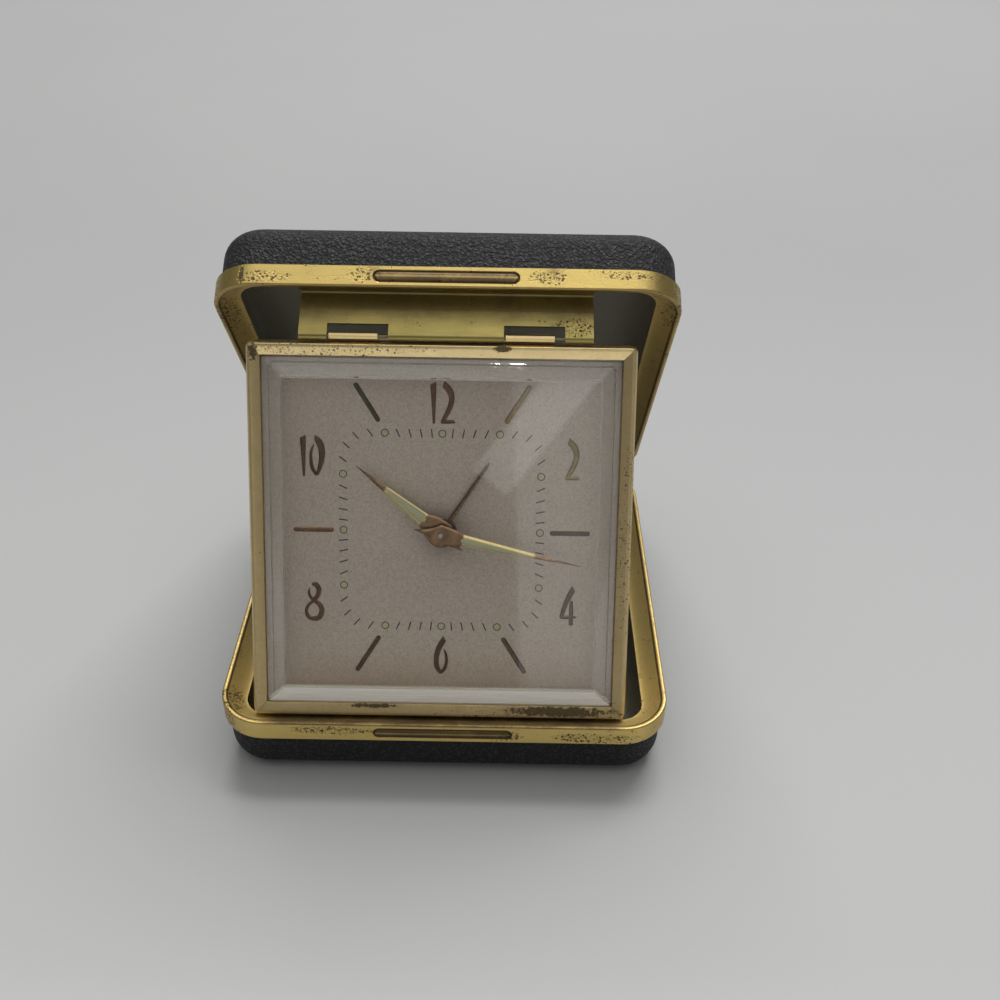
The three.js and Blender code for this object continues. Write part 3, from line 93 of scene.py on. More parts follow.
# The clock
CLOCK_HALF = 37
BEZEL_CORNER = 1.4
BEZEL_STRIP = 2.7
BEZEL_SKIRT = 6
BEZEL_SHEET = 0.7
BEZEL_BEVEL = 0.5
BEZEL_INNER_DROP = 0.6
BEZEL_LIP = 0.8
BEZEL_ROUNDS = (0.1, 0.25, 0.16, 0.2, 0.12, 0, 0, 0, 0)
BEZEL_CORNER_STEPS = 8
MITRE_HALF_WIDTH = 0.045
MITRE_DEPTH = 0.09
MITRE_LOWEST = -0.9
LEAST_CORNER = 0.12
CAN_INSET = 1
CRYSTAL_EDGE = 3
CRYSTAL_BEVEL = 3.7
CRYSTAL_RISE = 1.6
CRYSTAL_EDGE_DROP = 0.4
CRYSTAL_UNDERSIDE = 0.6
CRYSTAL_SEAT_TOP = 1.7
CRYSTAL_SEAT_DEPTH = 3
CRYSTAL_WALL = 1.4
CRYSTAL_ROUNDS = (0.12, 0.12, 0, 0, 0, 0, 0.15, 0.12)
CRYSTAL_CORNER = 0.35
# Milkiness of the crystal's bevel: faint haze on the sides, a painted reflection along the lower side, a
# painted highlight at the inner edge.
HAZE_SIDES = 0.08
HAZE_AND_REFLECTION_LOWER = 0.97
INNER_EDGE_HIGHLIGHT = 0.25
DIAL_INSET = 1.9
DIAL_DEPTH = 5.6
DIAL_THICKNESS = 0.5
DIAL_CORNER = 0.7
DIAL_HOLE = 2.8
DIAL_EDGE = (0.08, 0.04)
DIAL_HOLE_EDGE = (1.03, 0.06)
CLOCK_CENTRE_FROM_AXIS = 38.05

# The hands. Depths are measured from the bezel's front to a hand's upper face.
MINUTE = {
    "top_depth": 1.6, "length": 28, "hub": 2, "blade_half": 1.1,
    "bore": 0.62, "collar": 1.35, "lume_end": 18.4,
}
HOUR = {
    "top_depth": 2.95, "length": 21.1, "hub": 2.6, "blade_half": 1.4,
    "bore": 1.17, "collar": 1.95, "lume_end": 13.6,
}
ALARM_TOP = 4.35
ALARM_LENGTH = 16.8
ALARM_HUB = 3.05
ALARM_BLADE_HALF = 0.42
ALARM_BORE = 1.77
HAND_SHEET = 0.3
HAND_TAIL = 5.4
HAND_BLADE_START = 4.4
HAND_TIP_HALF = 0.06
HAND_BEVEL = 0.4
HAND_CURVE_STEPS = 10
HAND_BLADE_STEPS = 12
COLLAR_HEIGHT = 0.6
LUME_RISE = 0.06
LUME_SHIFT = 0.12
LUME_BEVEL = 0.12
LUME_MARGIN = 0.36
LUME_HALF_LEAST = 0.08
LUME_ROUND = 0.7
LUME_STEPS = 16
HOUR_SHOWN = 10 + 17 / 60
ALARM_SHOWN = 1.12

# The dial's marks
NUMERAL_HEIGHT = 8.1
DIGIT_GAP_SHARE = 0.08
NUMERAL_SIDE = 25.4
NUMERAL_RISE = 14.7
NUMERAL_TOP = 25.4
RELIEF_HEIGHT = 0.22
RELIEF_FOOT = 0.1
BAR_WIDTH = 0.95
BAR_END_STEPS = 6
BAR_INNER = 21.3
BAR_OUTER = 29.3
BAR_SLANT_INNER = (12.3, 21.6)
BAR_SLANT_OUTER = (17, 29)
TRACK_HALF = 19.4
TRACK_CORNER = 5
TICK_LENGTH = 1.75
TICK_WIDTH = 0.24
TICK_HEIGHT = 0.02
DOT_RADIUS = 0.62
DOT_RING = 0.16
DOT_HEIGHT = 0.12
DOT_FACES = 24
DOME_STEPS = 5

# The camera, where the photograph was taken from
CAMERA_PLACE = (0.0110176, -0.1951820, 0.1773202)
CAMERA_LENS = 39.3111
CAMERA_SENSOR = 36
CAMERA_PITCH = 0.6336466
CAMERA_YAW = 0.0023495
CAMERA_ROLL = 0.0151247

# Frames of the trays and of the clock, from the joints
joints = {joint["name"]: joint for joint in frame["joints"]}
case_axis = Vector(joints["case_hinge"]["pos_m"]) / MILLIMETRE
clock_axis = Vector(joints["clock_hinge"]["pos_m"]) / MILLIMETRE
hand_axis = Vector(joints["minute_hand_turn"]["pos_m"]) / MILLIMETRE
hand_line = Vector(joints["minute_hand_turn"]["axis"])
front_from_hinge = CASE_SETBACK + 2 * CASE_HALF_LENGTH
reach = clock_axis - case_axis
below = math.atan2(CLOCK_AXIS_BELOW_MOUTH, front_from_hinge - CLOCK_AXIS_FROM_FRONT)
open_angle = math.atan2(reach.z, -reach.y) + below
lean_angle = math.atan2(-hand_line.y, hand_line.z)


def placing(origin, x, y, z):
    columns = Matrix((x, y, z)).transposed().to_4x4()
    return Matrix.Scale(MILLIMETRE, 4) @ Matrix.Translation(origin) @ columns


clock_x = Vector((1, 0, 0))
clock_y = Vector((0, math.cos(lean_angle), math.sin(lean_angle)))
clock_z = Vector((0, -math.sin(lean_angle), math.cos(lean_angle)))
upper_y = Vector((0, math.cos(open_angle), -math.sin(open_angle)))
upper_z = Vector((0, -math.sin(open_angle), -math.cos(open_angle)))
clock_origin = clock_axis - clock_y * CLOCK_CENTRE_FROM_AXIS + clock_z * KNUCKLE_RADIUS
clock_origin.x = hand_axis.x
LOWER = placing(case_axis, Vector((1, 0, 0)), Vector((0, 1, 0)), Vector((0, 0, 1)))
UPPER = placing(case_axis, Vector((-1, 0, 0)), upper_y, upper_z)
CLOCK = placing(clock_origin, clock_x, clock_y, clock_z)


class Value:
    """What a node puts out. Arithmetic with it adds further nodes."""

    def __init__(self, finish, socket):
        self.finish = finish
        self.socket = socket

    def __add__(self, other):
        return self.finish.math("ADD", self, other)

    def __sub__(self, other):
        return self.finish.math("SUBTRACT", self, other)

    def __rsub__(self, other):
        return self.finish.math("SUBTRACT", other, self)

    def __mul__(self, other):
        return self.finish.math("MULTIPLY", self, other)

    def __truediv__(self, other):
        return self.finish.math("DIVIDE", self, other)

    def __abs__(self):
        return self.finish.math("ABSOLUTE", self)


class Nodes:
    """A node tree, emptied to be filled anew."""

    def __init__(self, tree):
        self.tree = tree
        tree.nodes.clear()

    def add(self, kind):
        return self.tree.nodes.new(kind)

    def join(self, source, target):
        """Links a socket, or writes a plain number or colour on it."""
        if isinstance(source, Value):
            source = source.socket
        if isinstance(source, bpy.types.NodeSocket):
            self.tree.links.new(source, target)
        else:
            target.default_value = source

    def node(self, kind, output, sockets, **settings):
        """Adds a node with its settings and what goes into its sockets, and gives what it puts out."""
        made = self.add(kind)
        for name, value in settings.items():
            setattr(made, name, value)
        for name, value in sockets.items():
            self.join(value, made.inputs[name])
        return Value(self, made.outputs[output])

    def step(self, value, low, high, start=0, end=1):
        """A smooth step of a value between two levels."""
        sockets = {"Value": value, "From Min": low, "From Max": high, "To Min": start, "To Max": end}
        return self.node("ShaderNodeMapRange", "Result", sockets, interpolation_type="SMOOTHSTEP")


class Finish(Nodes):
    """A procedural material whose textures are laid out in the millimetres of one frame."""

    def __init__(self, name, place):
        self.material = bpy.data.materials.new(name)
        self.material.use_nodes = True
        super().__init__(self.material.node_tree)
        self.output = self.add("ShaderNodeOutputMaterial")
        self.shader = self.add("ShaderNodeBsdfPrincipled")
        self.join(self.shader.outputs["BSDF"], self.output.inputs["Surface"])
        coordinates = self.add("ShaderNodeTexCoord")
        rotation = place.to_3x3().normalized().to_euler()
        sockets = {
            "Vector": coordinates.outputs["Object"], "Location": place.translation,
            "Rotation": rotation, "Scale": (MILLIMETRE,) * 3,
        }
        self.point = self.node("ShaderNodeMapping", "Vector", sockets, vector_type="TEXTURE")

    def set(self, **sockets):
        for name, value in sockets.items():
            self.join(value, self.shader.inputs[name.replace("_", " ")])

    def made(self, **sockets):
        """Sets the last sockets and gives the finished material."""
        self.set(**sockets)
        return self.material

    def stretched(self, stretch):
        if not stretch:
            return self.point
        return self.node("ShaderNodeVectorMath", "Vector", {0: self.point, 1: stretch}, operation="MULTIPLY")

    def noise(self, scale, seed, detail=4, roughness=0.55, distortion=0, stretch=None):
        sockets = {
            "Vector": self.stretched(stretch), "W": seed, "Scale": scale, "Detail": detail,
            "Roughness": roughness, "Distortion": distortion,
        }
        return self.node("ShaderNodeTexNoise", "Fac", sockets, noise_dimensions="4D")

    def cells(self, scale, seed, feature="F1", smooth=0):
        sockets = {"Vector": self.point, "W": seed, "Scale": scale}
        if feature == "SMOOTH_F1":
            sockets["Smoothness"] = smooth
        return self.node("ShaderNodeTexVoronoi", "Distance", sockets,
                         voronoi_dimensions="4D", feature=feature)

    def math(self, operation, first, second=0):
        return self.node("ShaderNodeMath", "Value", {0: first, 1: second}, operation=operation)

    def most(self, first, second):
        return self.math("MAXIMUM", first, second)

    def least(self, first, second):
        return self.math("MINIMUM", first, second)

    def root(self, value):
        return self.math("SQRT", value)

    def mix(self, share, first, second):
        """A blend of two colours."""
        colours = [(*colour, 1) if isinstance(colour, tuple) else colour for colour in (first, second)]
        return self.node("ShaderNodeMix", 2, {0: share, 6: colours[0], 7: colours[1]}, data_type="RGBA")

    def between(self, share, first, second):
        """A blend of two numbers."""
        return self.node("ShaderNodeMix", 0, {0: share, 2: first, 3: second}, data_type="FLOAT")

    def axis(self, index):
        return self.node("ShaderNodeSeparateXYZ", index, {"Vector": self.point})

    def patch(self, centre, half, seed, ragged=1.1, ragged_scale=1.1):
        """A ragged patch: an ellipse round a point, broken up towards its ragged edge, for wear, pit
        clusters, painted shade and painted highlight.
        """
        total = (self.noise(ragged_scale, seed, 9, 0.78) - 0.5) * (ragged * 6)
        for index, (middle, size) in enumerate(zip(centre, half)):
            away = (self.axis(index) - middle) / size
            total = total + away * away
        return self.step(total, 1.1, 0.7)

    def bump(self, height, depth, normal=None):
        sockets = {"Height": height, "Distance": depth * MILLIMETRE, "Strength": 1}
        if normal:
            sockets["Normal"] = normal
        return self.node("ShaderNodeBump", "Normal", sockets)


def dimmed(colour, share):
    return tuple(channel * share for channel in colour)


def brass(name, place, seed, base, dark, rough=0.26, tarnish=0.5, pits=0.4, scratch=(1, 1, 1), patches=(),
          clusters=(), shade=None, dull=None):
    """Worn brass plate: streaky polish, brown tarnish in clouds, clustered pits, fine scratches, and painted
    shade from a shade function.
    """
    finish = Finish(name, place)
    clouds = finish.noise(0.13, seed, 8, 0.68, 0.3)
    grain = finish.noise(2.6, seed + 1, 6, 0.75)
    streaks = finish.noise(0.7, seed + 2, 6, 0.7, 0, scratch)
    hair = finish.noise(3.2, seed + 3, 4, 0.8, 0, tuple(3 * size for size in scratch))
    cluster = finish.step(finish.noise(0.3, seed + 5, 5, 0.65), 0.48 - 0.08 * pits, 0.75 - 0.1 * pits)
    for centre, half in clusters:
        cluster = finish.most(cluster, finish.patch(centre, half, seed + 8, 0.5) * 1.2)
    pit_size = cluster * (0.36 * (0.3 + pits))
    uneven_edge = (finish.noise(1.7, seed + 9, 5, 0.75) - 0.5) * 0.9
    pit_size = pit_size + uneven_edge
    pit = finish.step(finish.cells(1.7, seed + 4) - pit_size, 0.07, -0.05)
    speck = finish.step(finish.cells(3.9, seed + 6) - pit_size, 0.08, -0.05)
    spotted = finish.most(pit, speck * 0.7)
    for centre, half in patches:
        spotted = finish.most(spotted, finish.patch(centre, half, seed + 7))
    mottle = clouds + (grain - 0.5) * 0.5
    darkening = finish.step(mottle, 0.7 - 0.22 * tarnish, 0.92 - 0.22 * tarnish)
    # Painted shade: the shade function's darkening joins the tarnish here, and past a level of one it
    # deepens to a darker brown below.
    if shade:
        uneven = finish.step(mottle, 0.25, 0.7, 0.75, 1.1)
        darkening = finish.most(darkening, shade(finish) * uneven)
    bright = tuple(min(1, channel) for channel in dimmed(base, 1.1))
    colour = finish.mix(streaks, bright, dimmed(base, 0.8))
    colour = finish.mix(finish.least(darkening * 0.85, 1), colour, dark)
    # Deeper painted shade where the darkening goes past one.
    colour = finish.mix(finish.step(darkening, 1.0, 1.5, 0, 0.7), colour, dimmed(dark, 0.35))
    colour = finish.mix(spotted * 0.88, colour, dimmed(dark, 0.28))
    worn = finish.most(darkening * 0.5, spotted)
    polish = finish.between(streaks, rough * 0.75, rough * 1.35)
    metal = finish.between(worn, 1.0, 0.6)
    roughness = polish + worn * 0.28
    if dull:
        share = dull(finish)
        metal = finish.between(share, metal, 0.45)
        roughness = finish.between(share, roughness, 0.5)
    finish.set(Base_Color=colour, Metallic=metal, Roughness=roughness)
    normal = finish.bump(hair, 0.006)
    normal = finish.bump(grain, 0.012, normal)
    normal = finish.bump(1 - spotted, 0.035, normal)
    return finish.made(Normal=normal)


def leather(name, place, seed):
    """Black leatherette: a fine pebbled grain of small domes with creases, dull in the creases."""
    finish = Finish(name, place)
    pebbles = finish.cells(1.6, seed, "SMOOTH_F1", smooth=0.25)
    small = finish.cells(3.6, seed + 1, "SMOOTH_F1", smooth=0.3)
    folds = finish.noise(1.1, seed + 2, 6, 0.65, 1.2)
    height = pebbles * -1 + small * -0.5 + folds * 1.3
    dome = finish.step(pebbles, 0.62, 0.3)
    dust = finish.step(finish.noise(0.4, seed + 3, 7, 0.72), 0.56, 0.8)
    colour = finish.mix(dome, (0.004, 0.0043, 0.0045), (0.018, 0.0184, 0.0184))
    colour = finish.mix(dust * 0.3, colour, (0.045, 0.044, 0.04))
    finish.set(Base_Color=colour, Roughness=finish.between(dome, 0.66, 0.46), Specular_IOR_Level=0.42)
    return finish.made(Normal=finish.bump(height, 0.27))


def lining(name, place, seed):
    """Ribbed lining cloth, dull green, with a little lint."""
    finish = Finish(name, place)
    weave = finish.noise(3.5, seed, 4, 0.7)
    wave = {"Vector": finish.point, "Scale": 1.1, "Distortion": 0.6}
    rib = finish.node("ShaderNodeTexWave", "Fac", wave, bands_direction="DIAGONAL")
    lint = finish.step(finish.noise(0.8, seed + 1, 6, 0.75), 0.6, 0.85)
    colour = finish.mix(rib, (0.19, 0.185, 0.145), (0.42, 0.405, 0.325))
    colour = finish.mix(lint * 0.4, colour, (0.45, 0.44, 0.37))
    finish.set(Base_Color=colour, Roughness=finish.between(weave, 0.95, 0.75))
    return finish.made(Normal=finish.bump(weave, 0.08, finish.bump(rib, 0.1)))


def copper(name, place, seed, base, highlight_stretch=None):
    """Polished copper-brown plate with darker clouds and rubbing marks. A stretch of it may carry a painted
    highlight in pale gold.
    """
    finish = Finish(name, place)
    clouds = finish.noise(0.28, seed, 4, 0.6, 0.5)
    rub = finish.noise(2.5, seed + 1, 5, 0.75)
    colour = finish.mix(finish.step(clouds, 0.35, 0.68), base, dimmed(base, 0.62))
    if highlight_stretch:
        along = finish.axis(1)
        share = finish.step(along, highlight_stretch[0], highlight_stretch[0] + 0.4) * finish.step(along, highlight_stretch[1], highlight_stretch[1] - 0.6)
        colour = finish.mix(share, colour, (0.9, 0.72, 0.35))
    colour = finish.mix(finish.step(rub, 0.62, 0.8), colour, dimmed(base, 0.35))
    finish.set(Base_Color=colour, Metallic=1.0, Roughness=finish.between(rub, 0.16, 0.34))
    return finish.made(Normal=finish.bump(rub, 0.004))


def lume(name, place, seed, base=(0.6, 0.64, 0.38)):
    """Grainy luminous paint, yellowed in places."""
    finish = Finish(name, place)
    grain = finish.noise(6, seed, 5, 0.8)
    clouds = finish.noise(0.7, seed + 1, 3)
    colour = finish.mix(finish.step(clouds, 0.35, 0.7), base, (0.64, 0.62, 0.38))
    colour = finish.mix(finish.step(grain, 0.55, 0.8), colour, dimmed(base, 0.62))
    finish.set(Base_Color=colour, Roughness=finish.between(grain, 0.6, 0.9))
    return finish.made(Normal=finish.bump(grain, 0.03))


def dial_paint(name, place, seed):
    """Champagne dial lacquer with metal flakes, fine upright brushing and faint yellow stains."""
    finish = Finish(name, place)
    flakes = finish.cells(9, seed)
    grain = finish.noise(7, seed + 1, 3, 0.8)
    brushing = finish.noise(1.3, seed + 2, 5, 0.7, 0, (6, 0.35, 1))
    darkening = finish.step(finish.noise(0.06, seed + 3, 5, 0.6), 0.55, 0.78)
    speckle = finish.noise(2.7, seed + 4, 3, 0.9)
    colour = finish.mix(brushing, (0.6, 0.5, 0.425), (0.71, 0.605, 0.52))
    colour = finish.mix(finish.step(speckle, 0.45, 0.66), colour, (0.77, 0.66, 0.57))
    colour = finish.mix(finish.step(speckle, 0.5, 0.3), colour, (0.48, 0.395, 0.335))
    colour = finish.mix(finish.step(flakes, 0.3, 0.08), colour, (0.95, 0.84, 0.74))
    colour = finish.mix(darkening * 0.3, colour, (0.44, 0.36, 0.27))
    finish.set(Base_Color=colour, Metallic=finish.step(flakes, 0.45, 0.1, 0.2, 0.5))
    finish.set(Roughness=finish.between(grain, 0.4, 0.62))
    return finish.made(Normal=finish.bump(grain, 0.006, finish.bump(brushing, 0.004)))


def print_ink(name, place, seed):
    """Thin brown printing ink, patchy at a small scale."""
    finish = Finish(name, place)
    patchy = finish.noise(5, seed, 4, 0.7)
    finish.set(Base_Color=finish.mix(patchy, (0.022, 0.016, 0.011), (0.055, 0.04, 0.03)))
    finish.set(Roughness=finish.between(patchy, 0.4, 0.65))
    return finish.made(Normal=finish.bump(patchy, 0.005))


def steel(name, place, seed, base=(0.5, 0.5, 0.49), rough=0.34):
    """Bare or plated steel with fine turning marks and a few stains."""
    finish = Finish(name, place)
    turned = finish.noise(1.2, seed, 5, 0.7, 0, (1, 5, 1))
    clouds = finish.noise(0.25, seed + 1, 5, 0.6)
    rust = finish.step(finish.noise(0.9, seed + 2, 6, 0.7), 0.66, 0.8)
    colour = finish.mix(finish.step(clouds, 0.4, 0.7), base, dimmed(base, 0.66))
    colour = finish.mix(rust * 0.7, colour, (0.16, 0.09, 0.05))
    finish.set(Base_Color=colour, Metallic=finish.between(rust, 1.0, 0.5))
    finish.set(Roughness=finish.between(turned, rough * 0.8, rough * 1.3))
    return finish.made(Normal=finish.bump(turned, 0.006, finish.bump(clouds, 0.02)))


def enamel(name, place, seed):
    """Sprayed bronze-grey enamel on the back plate, with orange peel and rubbed spots."""
    finish = Finish(name, place)
    peel = finish.noise(1.1, seed, 4, 0.5)
    clouds = finish.noise(0.12, seed + 1, 5)
    rubbed = finish.step(finish.noise(0.6, seed + 2, 6, 0.75), 0.66, 0.78)
    colour = finish.mix(clouds, (0.16, 0.14, 0.1), (0.22, 0.195, 0.145))
    colour = finish.mix(rubbed * 0.6, colour, (0.45, 0.35, 0.16))
    finish.set(Base_Color=colour, Metallic=finish.between(rubbed, 0.25, 0.9))
    finish.set(Roughness=finish.between(peel, 0.38, 0.55))
    return finish.made(Normal=finish.bump(peel, 0.03))


def bevel_haze_and_reflection(finish, seed):
    """How milky the crystal is: streaks on its bevel, most along the lower side as a painted reflection, and
    a pale inner edge as a painted highlight.
    """
    across, up = finish.axis(0), finish.axis(1)
    away_x, away_y = abs(across), abs(up)
    away = finish.most(away_x, away_y)
    inner = CLOCK_HALF - CRYSTAL_EDGE - CRYSTAL_BEVEL
    outer = CLOCK_HALF - CRYSTAL_EDGE
    bevel = finish.step(away, inner - 0.1, inner + 0.35) * finish.step(away, outer, outer - 0.4)
    lower = finish.step(up * -1 - away_x, -0.3, 0.3)
    upright = finish.noise(0.9, seed, 6, 0.75, 0, (3, 0.12, 1))
    level = finish.noise(0.9, seed + 1, 6, 0.75, 0, (0.12, 3, 1))
    sideways = finish.step(away_x - away_y, -0.2, 0.2)
    streak = finish.step(finish.between(sideways, level, upright), 0.3, 0.72, 0.55, 1.45)
    milky = bevel * finish.between(lower, HAZE_SIDES, HAZE_AND_REFLECTION_LOWER)
    milky = milky * finish.between(lower, streak, finish.step(streak, 0.5, 1.4, 0.88, 1.1))
    # Painted highlight: a pale line along the bevel's inner edge.
    edge = finish.step(abs(away - inner), 0.16, 0.03)
    return finish.most(milky, edge * INNER_EDGE_HIGHLIGHT)


def clear_crystal(name, place, seed):
    """Clear acrylic with faint rubbing. Lamps shine through it onto the dial."""
    finish = Finish(name, place)
    rub = finish.noise(1.7, seed, 6, 0.8, 0, (1, 2.5, 1))
    haze = finish.noise(0.07, seed + 1, 4)
    finish.set(Base_Color=(0.96, 0.965, 0.95, 1), IOR=1.49, Transmission_Weight=1.0)
    finish.set(Roughness=finish.step(rub, 0.6, 0.9, 0.004, 0.05) + finish.step(haze, 0.5, 0.8, 0, 0.02))
    finish.set(Normal=finish.bump(rub, 0.0005))
    through = finish.node("ShaderNodeBsdfTransparent", "BSDF", {"Color": (0.93, 0.935, 0.92, 1)})
    shadow = finish.node("ShaderNodeLightPath", "Is Shadow Ray", {})
    # The milky diffuse on the bevel is painted reflection along the lower side and painted highlight at the
    # inner edge.
    milk = finish.node("ShaderNodeBsdfDiffuse", "BSDF", {"Color": (1.0, 0.965, 0.885, 1)})
    haze = {"Fac": bevel_haze_and_reflection(finish, seed + 2), 1: finish.shader.outputs["BSDF"], 2: milk}
    hazy = finish.node("ShaderNodeMixShader", "Shader", haze)
    either = finish.node("ShaderNodeMixShader", "Shader", {"Fac": shadow, 1: hazy, 2: through})
    finish.join(either, finish.output.inputs["Surface"])
    return finish.material


SHARP_ANGLE = math.radians(38)


def linked(name, data):
    """Adds an object to the scene."""
    made = bpy.data.objects.new(name, data)
    bpy.context.scene.collection.objects.link(made)
    return made


def piece(name, points, faces, place, body, material, slot, stands_in=True, sharp=SHARP_ANGLE):
    """One closed mesh, placed in metres on its body. It stands in for the node that its slot names."""
    mesh = bpy.data.meshes.new(name)
    mesh.from_pydata([place @ Vector(point) for point in points], [], faces)
    edit = bmesh.new()
    edit.from_mesh(mesh)
    bmesh.ops.remove_doubles(edit, verts=edit.verts, dist=1e-8)
    bmesh.ops.recalc_face_normals(edit, faces=edit.faces)
    for face in edit.faces:
        face.smooth = True
    for edge in edit.edges:
        edge.smooth = edge.calc_face_angle(0) < sharp
    edit.to_mesh(mesh)
    edit.free()
    mesh.materials.append(material)
    made = linked(name, mesh)
    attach(made, body)
    if stands_in:
        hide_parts(slot)


def quarter(steps):
    """Angles from nought to a right angle."""
    return [step / steps * math.pi / 2 for step in range(steps + 1)]


def rounded_outline(half_x, half_y, radius, corner_steps, straight_steps=1, mitre=0):
    """A rectangle with rounded corners, with the same count of points at every inset."""
    points = []
    for quarter, (side_x, side_y) in enumerate(((1, 1), (-1, 1), (-1, -1), (1, -1))):
        centre = Vector((side_x * (half_x - radius), side_y * (half_y - radius)))
        arc = []
        for step in range(corner_steps + 1):
            angle = (quarter + step / corner_steps) * math.pi / 2
            arc.append(centre + radius * Vector((math.cos(angle), math.sin(angle))))
        if mitre:
            angle = (quarter + 1 / 2) * math.pi / 2
            middle = centre + radius * Vector((math.cos(angle), math.sin(angle)))
            aside = mitre * Vector((-math.sin(angle), math.cos(angle)))
            half = corner_steps // 2
            arc = [*arc[:half], middle - aside, middle, middle + aside, *arc[half + 1:]]
        points.extend(arc)
    filled = []
    for index, point in enumerate(points):
        following = points[(index + 1) % len(points)]
        filled.append(point)
        count = straight_steps if (following - point).length > radius / 2 + 1 else 1
        filled.extend(point.lerp(following, step / count) for step in range(1, count))
    return filled


def loft(rings, closed):
    """Joins rings of points side by side. An open loft gets flat ends."""
    count = len(rings[0])
    points = [point for ring in rings for point in ring]
    faces = []
    for ring in range(len(rings) if closed else len(rings) - 1):
        near = ring * count
        far = (ring + 1) % len(rings) * count
        for index in range(count):
            following = (index + 1) % count
            faces.append((near + index, near + following, far + following, far + index))
    if not closed:
        last = (len(rings) - 1) * count
        faces.append(tuple(range(count - 1, -1, -1)))
        faces.append(tuple(range(last, last + count)))
    return points, faces


def joined(parts):
    points, faces = [], []
    for part_points, part_faces in parts:
        offset = len(points)
        points += part_points
        faces += [tuple(index + offset for index in face) for face in part_faces]
    return points, faces


def rings_of(section, half_x, half_y, corner, corner_steps, centre_y=0, least=LEAST_CORNER, **outline):
    rings = []
    for inset, depth, *radius in section:
        turn = max(radius[0] if radius else corner - inset, least)
        flat = rounded_outline(half_x - inset, half_y - inset, turn, corner_steps, **outline)
        rings.append([(point.x, point.y + centre_y, depth) for point in flat])
    return rings


def rounded_section(section, radii, steps=4):
    """Rounds the corners of a closed section: pairs of inset and depth, with a radius for each."""
    made = []
    count = len(section)
    for index, (point, radius) in enumerate(zip(section, radii)):
        here = Vector(point)
        before = Vector(section[index - 1]) - here
        after = Vector(section[(index + 1) % count]) - here
        cut = min(radius, before.length * 0.45, after.length * 0.45)
        if cut <= 0:
            made.append(tuple(here))
            continue
        start = here + before.normalized() * cut
        end = here + after.normalized() * cut
        for step in range(steps + 1):
            share = step / steps
            bend = start * (1 - share) ** 2 + here * 2 * share * (1 - share) + end * share ** 2
            made.append(tuple(bend))
    return made


TRAY_CENTRE = -(CASE_SETBACK + CASE_HALF_LENGTH)
CORNER_STEPS = 16
ROUND_STEPS = 10


def skin(inset, thickness, floor):
    """One layer of a tray: inner face from its floor up, over the edge, and down the outer face."""
    inner = inset + thickness
    inner_round = CASE_EDGE_ROUND - thickness
    round_top = floor - CASE_EDGE_ROUND
    section = []
    for angle in reversed(quarter(ROUND_STEPS)):
        bend = inner_round * (1 - math.cos(angle))
        section.append((inner + bend, -round_top - inner_round * math.sin(angle), CASE_BACK_CORNER - bend))
    section.append((inner, -SKIN_TOP, CASE_CORNER - inner))
    section.append((inset, -SKIN_TOP, CASE_CORNER - inset))
    for angle in quarter(ROUND_STEPS):
        bend = CASE_EDGE_ROUND * (1 - math.cos(angle))
        depth = -round_top - CASE_EDGE_ROUND * math.sin(angle)
        section.append((inset + bend, depth, CASE_BACK_CORNER + thickness - bend))
    rings = rings_of(section, CASE_HALF_WIDTH, CASE_HALF_LENGTH, CASE_CORNER, CORNER_STEPS, TRAY_CENTRE)
    return loft(rings, False)


def dish_depth(inset):
    start = RIM_LIP_WIDTH + RIM_LIP_DROP
    travel = min(max((inset - start) / (RIM_FLANGE - start), 0), 1)
    return RIM_LIP_DROP + (RIM_DISH_DEPTH - RIM_LIP_DROP) * (1 - (1 - travel) ** DISH_POWER)


def grip_depth(x, z):
    """How deep the grip's groove is at a place on the band's front face."""
    reach_x = max(abs(x) - (GRIP_HALF_LENGTH - GRIP_HALF_HEIGHT), 0)
    away = math.hypot(reach_x, z + RIM_BAND / 2) - (GRIP_HALF_HEIGHT - GRIP_GROOVE / 2)
    share = abs(away) / (GRIP_GROOVE / 2)
    fall = max(0, 1 - share ** 2) ** 0.5
    height = (z + RIM_BAND / 2) / (GRIP_HALF_HEIGHT - GRIP_GROOVE)
    swell = GRIP_SWELL * max(0, 1 - height ** 2) if away < 0 else 0
    return GRIP_GROOVE_DEPTH * fall - swell * (1 if reach_x == 0 else 0.4)


BAND_STEPS = 30
LIP_STEPS = 4
DISH_STEPS = 12
GRIP_STEP = 0.16


